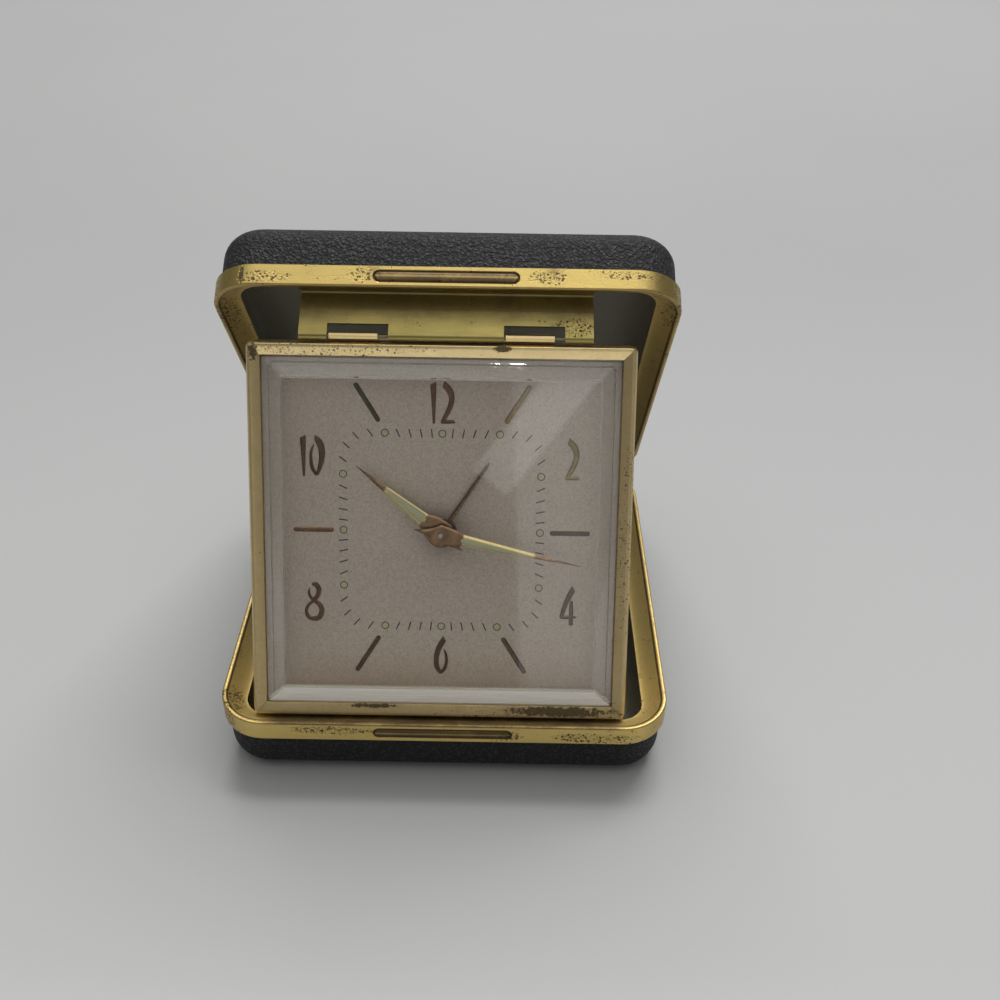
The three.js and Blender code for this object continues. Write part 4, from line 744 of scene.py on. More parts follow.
def rim():
    bevel, rise = RIM_FOOT_BEVEL
    section = [(RIM_SHEET, -RIM_BAND), (bevel, -RIM_BAND), (0, -RIM_BAND + rise)]
    band_top = -RIM_LIP_ROUND
    band_bottom = -RIM_BAND + RIM_FOOT_PLAIN
    band = band_top - band_bottom
    section += [(0, band_bottom + band * step / BAND_STEPS) for step in range(BAND_STEPS + 1)]
    for angle in quarter(LIP_STEPS)[1:]:
        section.append((RIM_LIP_ROUND * (1 - math.cos(angle)), -RIM_LIP_ROUND * (1 - math.sin(angle))))
    ease, drop = RIM_LIP_EASE
    section.append((RIM_LIP_WIDTH - ease, 0))
    section.append((RIM_LIP_WIDTH, -drop))
    start = RIM_LIP_WIDTH + RIM_LIP_DROP
    insets = [start + (RIM_FLANGE - start) * step / DISH_STEPS for step in range(DISH_STEPS + 1)]
    section += [(inset, -dish_depth(inset)) for inset in insets]
    section += [(inset, -dish_depth(inset) - RIM_DISH_SHEET) for inset in reversed(insets)]
    section.append((RIM_SHEET, -RIM_LIP_DROP - RIM_DISH_SHEET))
    grip_steps = int(2 * (CASE_HALF_WIDTH - CASE_CORNER) / GRIP_STEP)
    rings = []
    for inset, depth in section:
        radius = CASE_CORNER - inset
        flat = rounded_outline(CASE_HALF_WIDTH - inset, CASE_HALF_LENGTH - inset, radius, CORNER_STEPS)
        count = len(flat)
        ring = []
        for index, point in enumerate(flat):
            following = flat[(index + 1) % count]
            on_front = point.y < 0 and following.y < 0 and abs(point.y - following.y) < 1e-6
            steps = grip_steps if on_front and (following - point).length > CASE_HALF_WIDTH else 1
            for step in range(steps):
                spot = point.lerp(following, step / steps)
                push = grip_depth(spot.x, depth) if steps > 1 and inset == 0 else 0
                ring.append((spot.x, spot.y + TRAY_CENTRE + push, depth))
        rings.append(ring)
    return loft(rings, True)


RIM_GOLD = (0.80, 0.60, 0.21)
BEZEL_GOLD = (0.78, 0.60, 0.29)
TARNISH = (0.2, 0.135, 0.058)

BAND_FRONT = -(CASE_SETBACK + 2 * CASE_HALF_LENGTH)
lower_rim_clusters = (
    ((-22, BAND_FRONT, -1.6), (9, 3, 1.2)),
    ((30, BAND_FRONT, -2.6), (9, 3, 1.4)),
    ((13.6, BAND_FRONT, -2.4), (2.5, 3, 1.3)),
    ((-44, -84, -2), (4, 6, 3)),
)
upper_rim_clusters = (
    ((34, BAND_FRONT, -1.6), (5.5, 3, 1.3)),
    ((-19, BAND_FRONT, -2.2), (4, 3, 1.6)),
    ((-33, BAND_FRONT, -3), (6, 3, 0.9)),
    ((16, BAND_FRONT, -2.2), (3, 3, 1.6)),
    ((-44, -80, -2), (3, 7, 3)),
    ((44, -78, -2), (3, 9, 3)),
)


def rim_inset(finish):
    """Distance inwards from the rim's rounded outline."""
    beyond_x = abs(finish.axis(0)) - (CASE_HALF_WIDTH - CASE_CORNER)
    from_centre = abs(finish.axis(1) - TRAY_CENTRE)
    beyond_y = from_centre - (CASE_HALF_LENGTH - CASE_CORNER)
    over_x, over_y = finish.most(beyond_x, 0), finish.most(beyond_y, 0)
    squares = over_x * over_x + over_y * over_y
    within = finish.least(finish.most(beyond_x, beyond_y), 0)
    return CASE_CORNER - (finish.root(squares) + within)


def rim_tarnish_and_shade(flange, clock_shadow_share, lit_spots):
    """Where a rim darkens, partly tarnish and partly painted shade: the grip, the lip, the corners, and the
    flange but for lit spots.
    """
    def shade(finish):
        x, y, z = finish.axis(0), finish.axis(1), finish.axis(2)
        from_middle = abs(x)
        from_axis = z + RIM_BAND / 2
        beyond = finish.most(from_middle - (GRIP_HALF_LENGTH - GRIP_HALF_HEIGHT), 0)
        squares = beyond * beyond + from_axis * from_axis
        away = finish.root(squares) - (GRIP_HALF_HEIGHT - GRIP_GROOVE / 2)
        # The grip's groove and hollow are darkened, partly tarnish and partly painted shade. The middle
        # ridge is kept lighter, a painted highlight.
        groove = finish.step(abs(away), 0.36, 0.12, 0, 1.6)
        hollow = finish.step(away, 0.05, -0.1)
        ridge = finish.step(abs(from_axis), 0.06, 0.36, 0.85, 1.45)
        grip = finish.most(groove, hollow * ridge)
        grip = grip * finish.step(y, BAND_FRONT + 0.7, BAND_FRONT + 0.5)
        inset = rim_inset(finish)
        # Painted shadow of the clock, partly tarnish: the flange and lip next to the clock are darkened.
        under_clock_shadow = finish.step(y, BAND_FRONT + 7, BAND_FRONT + 5) * finish.step(from_middle, 37, 33)
        dish = finish.step(inset, RIM_LIP_WIDTH - 0.1, RIM_LIP_WIDTH + 0.4)
        dish = dish * finish.between(under_clock_shadow, flange, clock_shadow_share)
        # The flange's darkening is partly tarnish and partly painted shade. At the lit spots it is taken
        # back to bright brass, a painted highlight.
        for centre, half in lit_spots:
            lit_spot = finish.patch(centre, half, 17, 0.4)
            dish = dish * (1 - lit_spot * 0.8)
        # Painted shade: a dark line along the crease between the lip and the dish.
        crease = abs(inset - (RIM_LIP_WIDTH + 0.15))
        lip_tarnish_and_shadow = finish.between(under_clock_shadow, 0.6, clock_shadow_share)
        lip = finish.step(z, -0.42, -0.12) * lip_tarnish_and_shadow
        lip = finish.most(lip, finish.step(crease, 0.3, 0.1, 0, 1.3))
        # Darker towards the band's corners.
        corner = finish.step(from_middle, 38, 43, 0, 0.4)
        return finish.most(finish.most(grip, corner), finish.most(dish, lip))
    return shade


def rim_dull(finish):
    """The dished flange is dull and scratched."""
    return finish.step(rim_inset(finish), RIM_LIP_WIDTH - 0.2, RIM_LIP_WIDTH + 0.4, 0, 0.9)


ALONG_BAND = (0.25, 2, 2)
# Painted shade: a dark upright line in the crease at the upper band's corner.
upper_rim_crease_shade = (((38.2, BAND_FRONT, -2.2), (0.5, 3, 2)),)
# Spots where the upper flange is left bright: painted highlight.
upper_flange_lit_spots = (
    ((31.5, BAND_FRONT + 3, -1), (4, 4, 3)),
    ((-24.5, BAND_FRONT + 3, -1), (5, 4, 3)),
    ((-43, -60, -1), (4, 30, 3)),
    ((43, -60, -1), (4, 30, 3)),
)
rim_materials = {
    "lower": brass("lower_rim_brass", LOWER, 3, RIM_GOLD, TARNISH, 0.3, 0.5, 0.75, ALONG_BAND,
                   (), lower_rim_clusters, rim_tarnish_and_shade(0.12, 1.2, ()), rim_dull),
    "upper": brass("upper_rim_brass", UPPER, 11, (0.65, 0.485, 0.165), TARNISH, 0.26, 0.75, 0.75, ALONG_BAND,
                   upper_rim_crease_shade, upper_rim_clusters, rim_tarnish_and_shade(0.36, 0.6, upper_flange_lit_spots), rim_dull),
}

for seed, (side, place) in enumerate((("lower", LOWER), ("upper", UPPER))):
    body = f"{side}_tray"
    leather_skin = skin(LEATHER_INSET, LEATHER_THICKNESS, CASE_DEPTH)
    hide = leather(f"{side}_leather", place, 20 + 7 * seed)
    piece(f"{side}_leather_cover", *leather_skin, place, body, hide, f"{side}_leatherette")
    lining_skin = skin(LINING_INSET, LINING_THICKNESS, LINING_FLOOR)
    cloth = lining(f"{side}_cloth", place, 40 + 7 * seed)
    piece(f"{side}_lining_cloth", *lining_skin, place, body, cloth, f"{side}_lining")
    piece(f"{side}_brass_rim", *rim(), place, body, rim_materials[side], f"{side}_rim")


# The bent leaf inside the upper tray's front edge: a foot on the flange, a bend and a leg with two notches
LEG_FRONT = CLOCK_AXIS_FROM_FRONT - KNUCKLE_RADIUS
LEG_BACK = LEG_FRONT + LEAF_SHEET
NOTCH_TOP = CLOCK_AXIS_BELOW_MOUTH + KNUCKLE_RADIUS - NOTCH_HEIGHT
FOOT_STEPS = 12
BEND_STEPS = 8
ROLL_STEPS = 20
ROLL_TURN = math.radians(300)


def along_leaf(outline, left, right):
    """A closed outline of distances from the front and heights, carried across the tray."""
    rings = []
    for x in (left, right):
        rings.append([(x, from_front - front_from_hinge, height) for from_front, height in outline])
    return loft(rings, False)


def leaf_foot():
    flange = -RIM_DISH_DEPTH + LEAF_GAP
    foot = LEG_FRONT - LEAF_BEND - LEAF_FOOT_INSET
    insets = [LEAF_FOOT_INSET + foot * step / FOOT_STEPS for step in range(FOOT_STEPS + 1)]
    under = [(inset, LEAF_GAP - dish_depth(inset)) for inset in insets]
    over = [(inset, height + LEAF_SHEET) for inset, height in under]
    turns = quarter(BEND_STEPS)[1:]
    outer = LEAF_BEND + LEAF_SHEET
    centre = (LEG_FRONT - LEAF_BEND, flange + outer)
    outside, inside = [
        [(centre[0] + radius * math.sin(turn), centre[1] - radius * math.cos(turn)) for turn in turns]
        for radius in (outer, LEAF_BEND)
    ]
    near = [*over, *inside, (LEG_FRONT, NOTCH_TOP)]
    far = [*under, *outside, (LEG_BACK, NOTCH_TOP)]
    return [*near, *reversed(far)]


def leaf_tab():
    """The leg below the notches, rolled round the pin at its end."""
    angles = [math.pi + (step / ROLL_STEPS) * ROLL_TURN for step in range(ROLL_STEPS + 1)]
    roll, bore = [
        [(CLOCK_AXIS_FROM_FRONT + radius * math.cos(angle),
          CLOCK_AXIS_BELOW_MOUTH - radius * math.sin(angle)) for angle in angles]
        for radius in (KNUCKLE_RADIUS, PIN_BORE)
    ]
    return [(LEG_FRONT, NOTCH_TOP), *roll, *reversed(bore), (CLOCK_AXIS_FROM_FRONT - PIN_BORE, NOTCH_TOP)]


def clock_leaf():
    half = LEAF_WIDTH / 2
    centres = (-NOTCH_CENTRE, NOTCH_CENTRE)
    notch = [(centre - NOTCH_WIDTH / 2, centre + NOTCH_WIDTH / 2) for centre in centres]
    tabs = [(-half, notch[0][0]), (notch[0][1], notch[1][0]), (notch[1][1], half)]
    return joined([along_leaf(leaf_foot(), -half, half), *[along_leaf(leaf_tab(), *tab) for tab in tabs]])


# The clock's bezel: bevelled strips with fine mitre lines at the corners
def bezel():
    section = [
        (0, -BEZEL_SKIRT),
        (0, -2 * BEZEL_BEVEL),
        (BEZEL_BEVEL, 0),
        (2 * BEZEL_BEVEL, 0),
        (BEZEL_STRIP, -BEZEL_INNER_DROP),
        (BEZEL_STRIP, -BEZEL_INNER_DROP - BEZEL_LIP),
        (CAN_INSET, -BEZEL_INNER_DROP - BEZEL_LIP),
        (BEZEL_SHEET, -BEZEL_INNER_DROP - BEZEL_LIP - LEAF_GAP),
        (BEZEL_SHEET, -BEZEL_SKIRT),
    ]
    middle = BEZEL_CORNER_STEPS // 2 + 1
    rings = []
    for inset, depth in rounded_section(section, BEZEL_ROUNDS):
        half = CLOCK_HALF - inset
        turn = max(BEZEL_CORNER - inset, LEAST_CORNER)
        flat = rounded_outline(half, half, turn, BEZEL_CORNER_STEPS, mitre=MITRE_HALF_WIDTH)
        per_corner = len(flat) // 4
        ring = []
        for index, point in enumerate(flat):
            groove = MITRE_DEPTH if index % per_corner == middle and depth > MITRE_LOWEST else 0
            ring.append((point.x, point.y, depth - groove))
        rings.append(ring)
    return loft(rings, True)


bezel_patches = (
    ((24, -35.3, -0.2), (10, 0.9, 3)),
    ((-13, -34.7, -0.2), (5, 0.4, 3)),
    ((11.5, 36.1, -0.2), (1.7, 0.6, 3)),
    ((-35.6, 35, -0.2), (1, 1.6, 3)),
)


def bezel_painted_shade(finish):
    """Painted shade: the bezel is left bright along its top and darkened towards brown along its sides and
    foot.
    """
    across, up = abs(finish.axis(0)), finish.axis(1)
    on_top = finish.step(up - across, -0.05, 0.05)
    on_foot = finish.step(up * -1 - across, -0.05, 0.05)
    return finish.between(on_top, finish.between(on_foot, 0.48, 0.68), 0)


bezel_clusters = (
    ((-20, 36, 0), (18, 2, 3)),
    ((20, -36, 0), (22, 2, 3)),
    ((36, 0, 0), (2, 20, 3)),
)
bezel_brass = brass("bezel_brass", CLOCK, 31, (0.9, 0.71, 0.37), TARNISH, 0.3, 0.2, 0.4,
                    patches=bezel_patches, clusters=bezel_clusters, shade=bezel_painted_shade)
piece("bezel_frame", *bezel(), CLOCK, "clock", bezel_brass, "bezel", sharp=math.radians(50))


def crystal():
    edge = CRYSTAL_EDGE
    section = [
        (edge + CRYSTAL_BEVEL, CRYSTAL_RISE),
        (edge, -CRYSTAL_EDGE_DROP),
        (edge, -CRYSTAL_SEAT_TOP),
        (CAN_INSET, -CRYSTAL_SEAT_TOP),
        (CAN_INSET, -CRYSTAL_SEAT_DEPTH),
        (edge + CRYSTAL_WALL, -CRYSTAL_SEAT_DEPTH),
        (edge + CRYSTAL_WALL, -CRYSTAL_EDGE_DROP - CRYSTAL_WALL),
        (edge + CRYSTAL_BEVEL, -CRYSTAL_UNDERSIDE),
    ]
    line = rounded_section(section, CRYSTAL_ROUNDS, 5)
    rings = rings_of(line, CLOCK_HALF, CLOCK_HALF, BEZEL_CORNER, 4, least=CRYSTAL_CORNER)
    return loft(rings, False)


acrylic = clear_crystal("crystal_acrylic", CLOCK, 51)
piece("crystal_pane", *crystal(), CLOCK, "clock", acrylic, "crystal", sharp=math.radians(30))


# The dial plate with its round hole
def dial_plate():
    def ring(half, radius, depth):
        flat = rounded_outline(half, half, radius, 8, straight_steps=8)
        return [(point.x, point.y, depth) for point in flat]

    half = CLOCK_HALF - DIAL_INSET
    outer = ring(half, DIAL_CORNER, 0)
    directions = [math.atan2(y, x) for x, y, _ in outer]
    hole = [(DIAL_HOLE * math.cos(angle), DIAL_HOLE * math.sin(angle)) for angle in directions]
    top, bottom = -DIAL_DEPTH, -DIAL_DEPTH - DIAL_THICKNESS
    edge, edge_drop = DIAL_EDGE
    widened, hole_drop = DIAL_HOLE_EDGE
    rings = [
        [(x, y, top - edge_drop) for x, y, _ in outer],
        [(x * (half - edge) / half, y * (half - edge) / half, top) for x, y, _ in outer],
        [(x * widened, y * widened, top) for x, y in hole],
        [(x, y, top - hole_drop) for x, y in hole],
        [(x, y, bottom) for x, y in hole],
        [(x, y, bottom) for x, y, _ in outer],
    ]
    return loft(rings, True)


piece("dial_plate", *dial_plate(), CLOCK, "clock", dial_paint("dial_lacquer", CLOCK, 61), "dial")


def ribbon(left, right, foot, top, bevel, ridge=0):
    """A raised strip between two edge lines, with bevelled sides and a ridge along its middle."""
    rings = []
    for start, end in zip(left, right):
        start, end = Vector(start), Vector(end)
        width = (end - start).length
        share = min(bevel / max(width, 1e-6), 0.4)
        low = top - bevel * 0.7
        inner_start, inner_end = start.lerp(end, share), end.lerp(start, share)
        middle = (start + end) / 2
        rings.append([
            (*start, foot), (*start, low), (*inner_start, top),
            (*middle, top + ridge), (*inner_end, top), (*end, low), (*end, foot),
        ])
    return loft(rings, False)


def smooth_line(points, steps):
    """A curve through given points, sampled evenly between them."""
    made = []
    count = len(points)
    for index in range(count - 1):
        before = Vector(points[max(index - 1, 0)])
        start, end = Vector(points[index]), Vector(points[index + 1])
        after = Vector(points[min(index + 2, count - 1)])
        for step in range(steps):
            t = step / steps
            square = 2 * before - 5 * start + 4 * end - after
            cube = 3 * start - before - 3 * end + after
            made.append(0.5 * (2 * start + (end - before) * t + square * t * t + cube * t ** 3))
    made.append(Vector(points[-1]))
    return made


# Digits in shares of their height. A stroke is its middle line with widths, and the turns of its two ends.
DIGIT_SHARES = {
    "0": (0.37, (
        (((0.13, 0.94, 0.13), (0.24, 0.83, 0.165), (0.30, 0.62, 0.16), (0.285, 0.35, 0.13),
          (0.18, 0.03, 0.07)), 35, 0),
        (((0.115, 0.78, 0.02), (0.05, 0.62, 0.07), (0.035, 0.43, 0.075), (0.065, 0.2, 0.085),
          (0.17, 0.03, 0.08)), 0, 0),
    )),
    "1": (0.16, ((((0.085, 0.965, 0.155), (0.095, 0.5, 0.105), (0.1, 0.0, 0.052)), 24, 0),)),
    "2": (0.375, (
        (((0.085, 0.95, 0.15), (0.225, 0.805, 0.16), (0.285, 0.63, 0.14), (0.258, 0.43, 0.127),
          (0.156, 0.208, 0.114), (0.05, 0.03, 0.07)), 30, 0),
        (((0.03, 0.045, 0.085), (0.17, 0.05, 0.095), (0.36, 0.055, 0.09)), 0, 30),
    )),
    "4": (0.41, (
        (((0.325, 0.94, 0.15), (0.2, 0.7, 0.13), (0.105, 0.45, 0.11), (0.04, 0.2, 0.1)), -35, 0),
        (((0.01, 0.205, 0.085), (0.2, 0.205, 0.09), (0.41, 0.205, 0.03)), 0, 0),
        (((0.277, 0.62, 0.06), (0.277, 0.45, 0.1), (0.277, 0.0, 0.1)), 0, 0),
    )),
    "6": (0.35, (
        (((0.265, 0.93, 0.15), (0.135, 0.7, 0.14), (0.065, 0.45, 0.13), (0.075, 0.2, 0.12),
          (0.18, 0.03, 0.08)), -35, 0),
        (((0.17, 0.04, 0.08), (0.275, 0.16, 0.085), (0.315, 0.36, 0.075), (0.295, 0.53, 0.06),
          (0.25, 0.65, 0.02)), 0, 0),
    )),
    "8": (0.5, (
        (((0.21, 0.92, 0.08), (0.29, 0.94, 0.12), (0.37, 0.82, 0.125), (0.35, 0.67, 0.115),
          (0.245, 0.53, 0.1)), 0, 0),
        (((0.15, 0.85, 0.02), (0.125, 0.73, 0.06), (0.165, 0.61, 0.07), (0.26, 0.51, 0.08)), 0, 0),
        (((0.235, 0.54, 0.09), (0.39, 0.42, 0.115), (0.44, 0.26, 0.13), (0.38, 0.11, 0.13),
          (0.245, 0.06, 0.12)), 0, 0),
        (((0.25, 0.53, 0.08), (0.11, 0.4, 0.08), (0.055, 0.25, 0.08), (0.11, 0.11, 0.1),
          (0.25, 0.06, 0.12)), 0, 0),
    )),
}

# Painted reflections: the numerals and bars are of one copper, each tinted lighter or darker for the light
# it catches.
COPPER = (0.2, 0.112, 0.06)
BRIGHT_REFLECTION_TINT = (0.28, 0.21, 0.09)
DARK_REFLECTION_TINT = (0.07, 0.05, 0.035)
OLIVE_REFLECTION_TINT = (0.15, 0.125, 0.07)
MARK_REFLECTION_TINTS = {
    "12": COPPER, "2": BRIGHT_REFLECTION_TINT, "4": (0.14, 0.09, 0.05),
    "6": COPPER, "8": (0.3, 0.17, 0.095), "10": (0.25, 0.15, 0.09),
    "bar_1": (0.33, 0.23, 0.11), "bar_3": DARK_REFLECTION_TINT, "bar_5": (0.2, 0.12, 0.075),
    "bar_7": COPPER, "bar_9": (0.34, 0.18, 0.1), "bar_11": OLIVE_REFLECTION_TINT,
}
mark_copper = {
    name: copper(f"{'numeral_' * name.isdigit()}{name}_copper", CLOCK, 71 + 3 * index, tint)
    for index, (name, tint) in enumerate(MARK_REFLECTION_TINTS.items())
}
STROKE_BEVEL = 0.2
STROKE_STAGGER = 0.004
STROKE_STEPS = 6
TURNED_STATIONS = 4
RELIEF_SHARP = math.radians(25)


def stroke_edges(stations, start_turn, end_turn, x, y, size):
    line = smooth_line(stations, STROKE_STEPS)
    left, right = [], []
    for index, station in enumerate(line):
        before = line[max(index - 1, 0)]
        after = line[min(index + 1, len(line) - 1)]
        along = (after - before).to_2d().normalized()
        across = Vector((-along.y, along.x))
        start_share = max(0, 1 - index / TURNED_STATIONS)
        end_share = max(0, 1 - (len(line) - 1 - index) / TURNED_STATIONS)
        across.rotate(Matrix.Rotation(math.radians(start_turn * start_share + end_turn * end_share), 2))
        centre = Vector((x + station.x * size, y + station.y * size))
        half = max(station.z, 0.01) * size / 2
        left.append(centre + across * half)
        right.append(centre - across * half)
    return left, right


def add_mark(name, tint, left, right, lower=0):
    made = ribbon(left, right, -DIAL_DEPTH - RELIEF_FOOT, -DIAL_DEPTH + RELIEF_HEIGHT - lower, STROKE_BEVEL)
    piece(name, *made, CLOCK, "clock", mark_copper[tint], "dial", False, RELIEF_SHARP)


def add_numeral(text, centre_x, centre_y):
    widths = [DIGIT_SHARES[digit][0] for digit in text]
    left_edge = -(sum(widths) + DIGIT_GAP_SHARE * (len(text) - 1)) / 2
    for place_in_text, (digit, width) in enumerate(zip(text, widths)):
        for number, (stations, start_turn, end_turn) in enumerate(DIGIT_SHARES[digit][1]):
            x = centre_x + left_edge * NUMERAL_HEIGHT
            y = centre_y - NUMERAL_HEIGHT / 2
            left, right = stroke_edges(stations, start_turn, end_turn, x, y, NUMERAL_HEIGHT)
            add_mark(f"numeral_{text}_{place_in_text}_{number}", text, left, right, STROKE_STAGGER * number)
        left_edge += width + DIGIT_GAP_SHARE


for text, x, y in (
    ("12", 0, NUMERAL_TOP), ("2", NUMERAL_SIDE, NUMERAL_RISE), ("4", NUMERAL_SIDE, -NUMERAL_RISE),
    ("6", 0, -NUMERAL_TOP), ("8", -NUMERAL_SIDE, -NUMERAL_RISE), ("10", -NUMERAL_SIDE, NUMERAL_RISE),
):
    add_numeral(text, x, y)


def add_bar(name, inner, outer):
    inner, outer = Vector(inner), Vector(outer)
    along = (outer - inner).normalized()
    across = Vector((-along.y, along.x)) * BAR_WIDTH / 2
    left, right = [], []
    for end, outwards in ((inner, -1), (outer, 1)):
        turns = quarter(BAR_END_STEPS)[:-1]
        if outwards < 0:
            turns = turns[::-1]
        for turn in turns:
            spot = end + along * outwards * BAR_WIDTH / 2 * (math.sin(turn) - 1)
            left.append(spot + across * math.cos(turn))
            right.append(spot - across * math.cos(turn))
    add_mark(name, name, left, right)


add_bar("bar_3", (BAR_INNER, 0), (BAR_OUTER, 0))
add_bar("bar_9", (-BAR_INNER, 0), (-BAR_OUTER, 0))
for name, side_x, side_y in (("bar_1", 1, 1), ("bar_5", 1, -1), ("bar_7", -1, -1), ("bar_11", -1, 1)):
    add_bar(name, (side_x * BAR_SLANT_INNER[0], side_y * BAR_SLANT_INNER[1]),
            (side_x * BAR_SLANT_OUTER[0], side_y * BAR_SLANT_OUTER[1]))


def track_radius(angle):
    """Distance from the centre to the rounded square of the minute track."""
    direction = Vector((math.cos(angle), math.sin(angle)))
    low, high = 0, 2 * TRACK_HALF
    for _ in range(30):
        middle = (low + high) / 2
        x, y = abs(direction.x * middle), abs(direction.y * middle)
        flat = TRACK_HALF - TRACK_CORNER
        away = math.hypot(max(x - flat, 0), max(y - flat, 0)) - TRACK_CORNER
        low, high = (middle, high) if away < 0 else (low, middle)
    return low


ticks = []
dots = []
for minute in range(60):
    angle = math.pi / 2 - minute * math.pi / 30
    radius = track_radius(angle)
    if minute % 5 == 0:
        dots.append((radius * math.cos(angle), radius * math.sin(angle)))
        continue
    out = Vector((math.cos(angle), math.sin(angle)))
    across = Vector((-out.y, out.x)) * TICK_WIDTH / 2
    near, far = out * (radius - TICK_LENGTH / 2), out * (radius + TICK_LENGTH / 2)
    flat = [near - across, near + across, far + across, far - across]
    depths = (-DIAL_DEPTH - RELIEF_FOOT, -DIAL_DEPTH + TICK_HEIGHT)
    ticks.append(loft([[(*spot, depth) for spot in flat] for depth in depths], False))
piece("minute_track", *joined(ticks), CLOCK, "clock", print_ink("track_ink", CLOCK, 101), "dial", False)


def turned(profile, x=0, y=0, faces=40, closed=False):
    """A round piece from pairs of radius and height."""
    rings = []
    for radius, height in profile:
        rings.append([(x + radius * math.cos(2 * math.pi * step / faces),
                       y + radius * math.sin(2 * math.pi * step / faces), height) for step in range(faces)])
    return loft(rings, closed)


top = -DIAL_DEPTH
ring_profile = [
    (DOT_RADIUS + DOT_RING, top - RELIEF_FOOT), (DOT_RADIUS + DOT_RING, top + TICK_HEIGHT),
    (DOT_RADIUS - 0.05, top + TICK_HEIGHT), (DOT_RADIUS - 0.05, top - RELIEF_FOOT),
]
dome_profile = [(DOT_RADIUS, top - RELIEF_FOOT)]
for angle in quarter(DOME_STEPS):
    dome_profile.append((DOT_RADIUS * math.cos(angle) + 0.01, top + DOT_HEIGHT * math.sin(angle)))
ring_shape = joined([turned(ring_profile, x, y, DOT_FACES, True) for x, y in dots])
piece("dot_rings", *ring_shape, CLOCK, "clock", print_ink("dot_ring_ink", CLOCK, 103), "dial", False)
dot_lume = lume("dot_lume", CLOCK, 105, (0.6, 0.56, 0.36))
dome_shape = joined([turned(dome_profile, x, y, DOT_FACES) for x, y in dots])
piece("hour_dots", *dome_shape, CLOCK, "clock", dot_lume, "dial", False)


def curve_between(start, control, end, steps):
    made = []
    for step in range(steps + 1):
        t = step / steps
        made.append(Vector(start) * (1 - t) ** 2 + Vector(control) * 2 * t * (1 - t) + Vector(end) * t * t)
    return made


def hand_sides(flank, turn, shift=0):
    """Both edges of a hand, turned to where it points."""
    left = [turn @ Vector((shift - spot.x, spot.y)) for spot in flank]
    right = [turn @ Vector((shift + spot.x, spot.y)) for spot in flank]
    return left, right


def hand(name, angle, top_depth, length, hub, blade_half, bore, collar, lume_end):
    """A leaf hand with folded edges, a raised lume panel and a turned hub under it."""
    body = f"{name}_work"
    node = f"{name}_hand"
    steps = HAND_CURVE_STEPS
    waist = (hub, -blade_half * 0.4)
    flank = curve_between((HAND_TIP_HALF, -HAND_TAIL), (blade_half * 0.45, -hub), waist, steps)
    flank += curve_between(waist, (hub, hub), (blade_half, HAND_BLADE_START), steps)[1:]
    start, end = Vector((blade_half, HAND_BLADE_START)), Vector((HAND_TIP_HALF, length))
    flank += [start.lerp(end, (step + 1) / HAND_BLADE_STEPS) for step in range(HAND_BLADE_STEPS)]
    turn = Matrix.Rotation(-angle, 2)
    blade = ribbon(*hand_sides(flank, turn), -top_depth - HAND_SHEET, -top_depth, HAND_BEVEL)
    collar_profile = [
        (bore, -top_depth + 0.02), (collar + 0.3, -top_depth + 0.04), (collar + 0.45, -top_depth - 0.02),
        (collar, -top_depth - HAND_SHEET - COLLAR_HEIGHT), (bore, -top_depth - HAND_SHEET - COLLAR_HEIGHT),
    ]
    made = joined([blade, turned(collar_profile, closed=True)])
    # Painted highlight: the stretch of the blade beside the lume is lightened to pale gold.
    highlight_stretch = (HAND_BLADE_START - 0.2, lume_end + 0.6)
    plate = copper(f"{name}_copper", CLOCK @ turn.to_4x4(), 81 + length, (0.4, 0.24, 0.13), highlight_stretch)
    piece(f"{name}_blade", *made, CLOCK, body, plate, node, sharp=math.radians(20))
    panel = []
    foot = HAND_BLADE_START - 0.4
    for step in range(LUME_STEPS + 1):
        y = foot + (lume_end - foot) * step / LUME_STEPS
        blade_here = blade_half * (length - y) / (length - HAND_BLADE_START)
        half = max(blade_here - LUME_MARGIN, LUME_HALF_LEAST)
        round_off = min(1, math.sqrt(max(1 - (1 - min((y - foot) / LUME_ROUND, 1)) ** 2, 0.02)))
        panel.append(Vector((half * round_off, y)))
    sides = hand_sides(panel, turn, LUME_SHIFT)
    strip = ribbon(*sides, -top_depth - RELIEF_FOOT, -top_depth + LUME_RISE, LUME_BEVEL)
    paint = lume(f"{name}_lume_paint", CLOCK, 111 + length)
    piece(f"{name}_lume", *strip, CLOCK, body, paint, node, False, math.radians(40))


minute_angle = (HOUR_SHOWN % 1) * 2 * math.pi
hour_angle = HOUR_SHOWN / 12 * 2 * math.pi
alarm_angle = ALARM_SHOWN / 12 * 2 * math.pi
hand("minute", minute_angle, **MINUTE)
hand("hour", hour_angle, **HOUR)


def alarm_hand():
    turn = Matrix.Rotation(-alarm_angle, 2)
    shoulder = ALARM_LENGTH * 0.93
    half = ALARM_BLADE_HALF
    edge = ((half * 1.2, 1.9), (half, 4), (half * 0.8, shoulder), (0.05, ALARM_LENGTH))
    flank = [Vector(spot) for spot in edge]
    top = -ALARM_TOP
    blade = ribbon(*hand_sides(flank, turn), top - HAND_SHEET, top, 0.18, 0.05)
    foot = top - HAND_SHEET - COLLAR_HEIGHT
    profile = [
        (ALARM_BORE, top), (ALARM_HUB - 0.25, top - 0.02), (ALARM_HUB, top - 0.15),
        (ALARM_HUB, foot + 0.1), (ALARM_HUB - 0.15, foot), (ALARM_BORE, foot),
    ]
    return joined([blade, turned(profile, closed=True)])


alarm_copper = copper("alarm_hand_copper", CLOCK, 91, (0.25, 0.145, 0.085))
piece("alarm_blade", *alarm_hand(), CLOCK, "alarm_work", alarm_copper, "alarm_hand", sharp=RELIEF_SHARP)


# Carried-over nodes: welded, given fine rounded edges, and finished
WELD_REACH = 1e-6
EDGE_ANGLE = math.radians(32)
dressed = set()


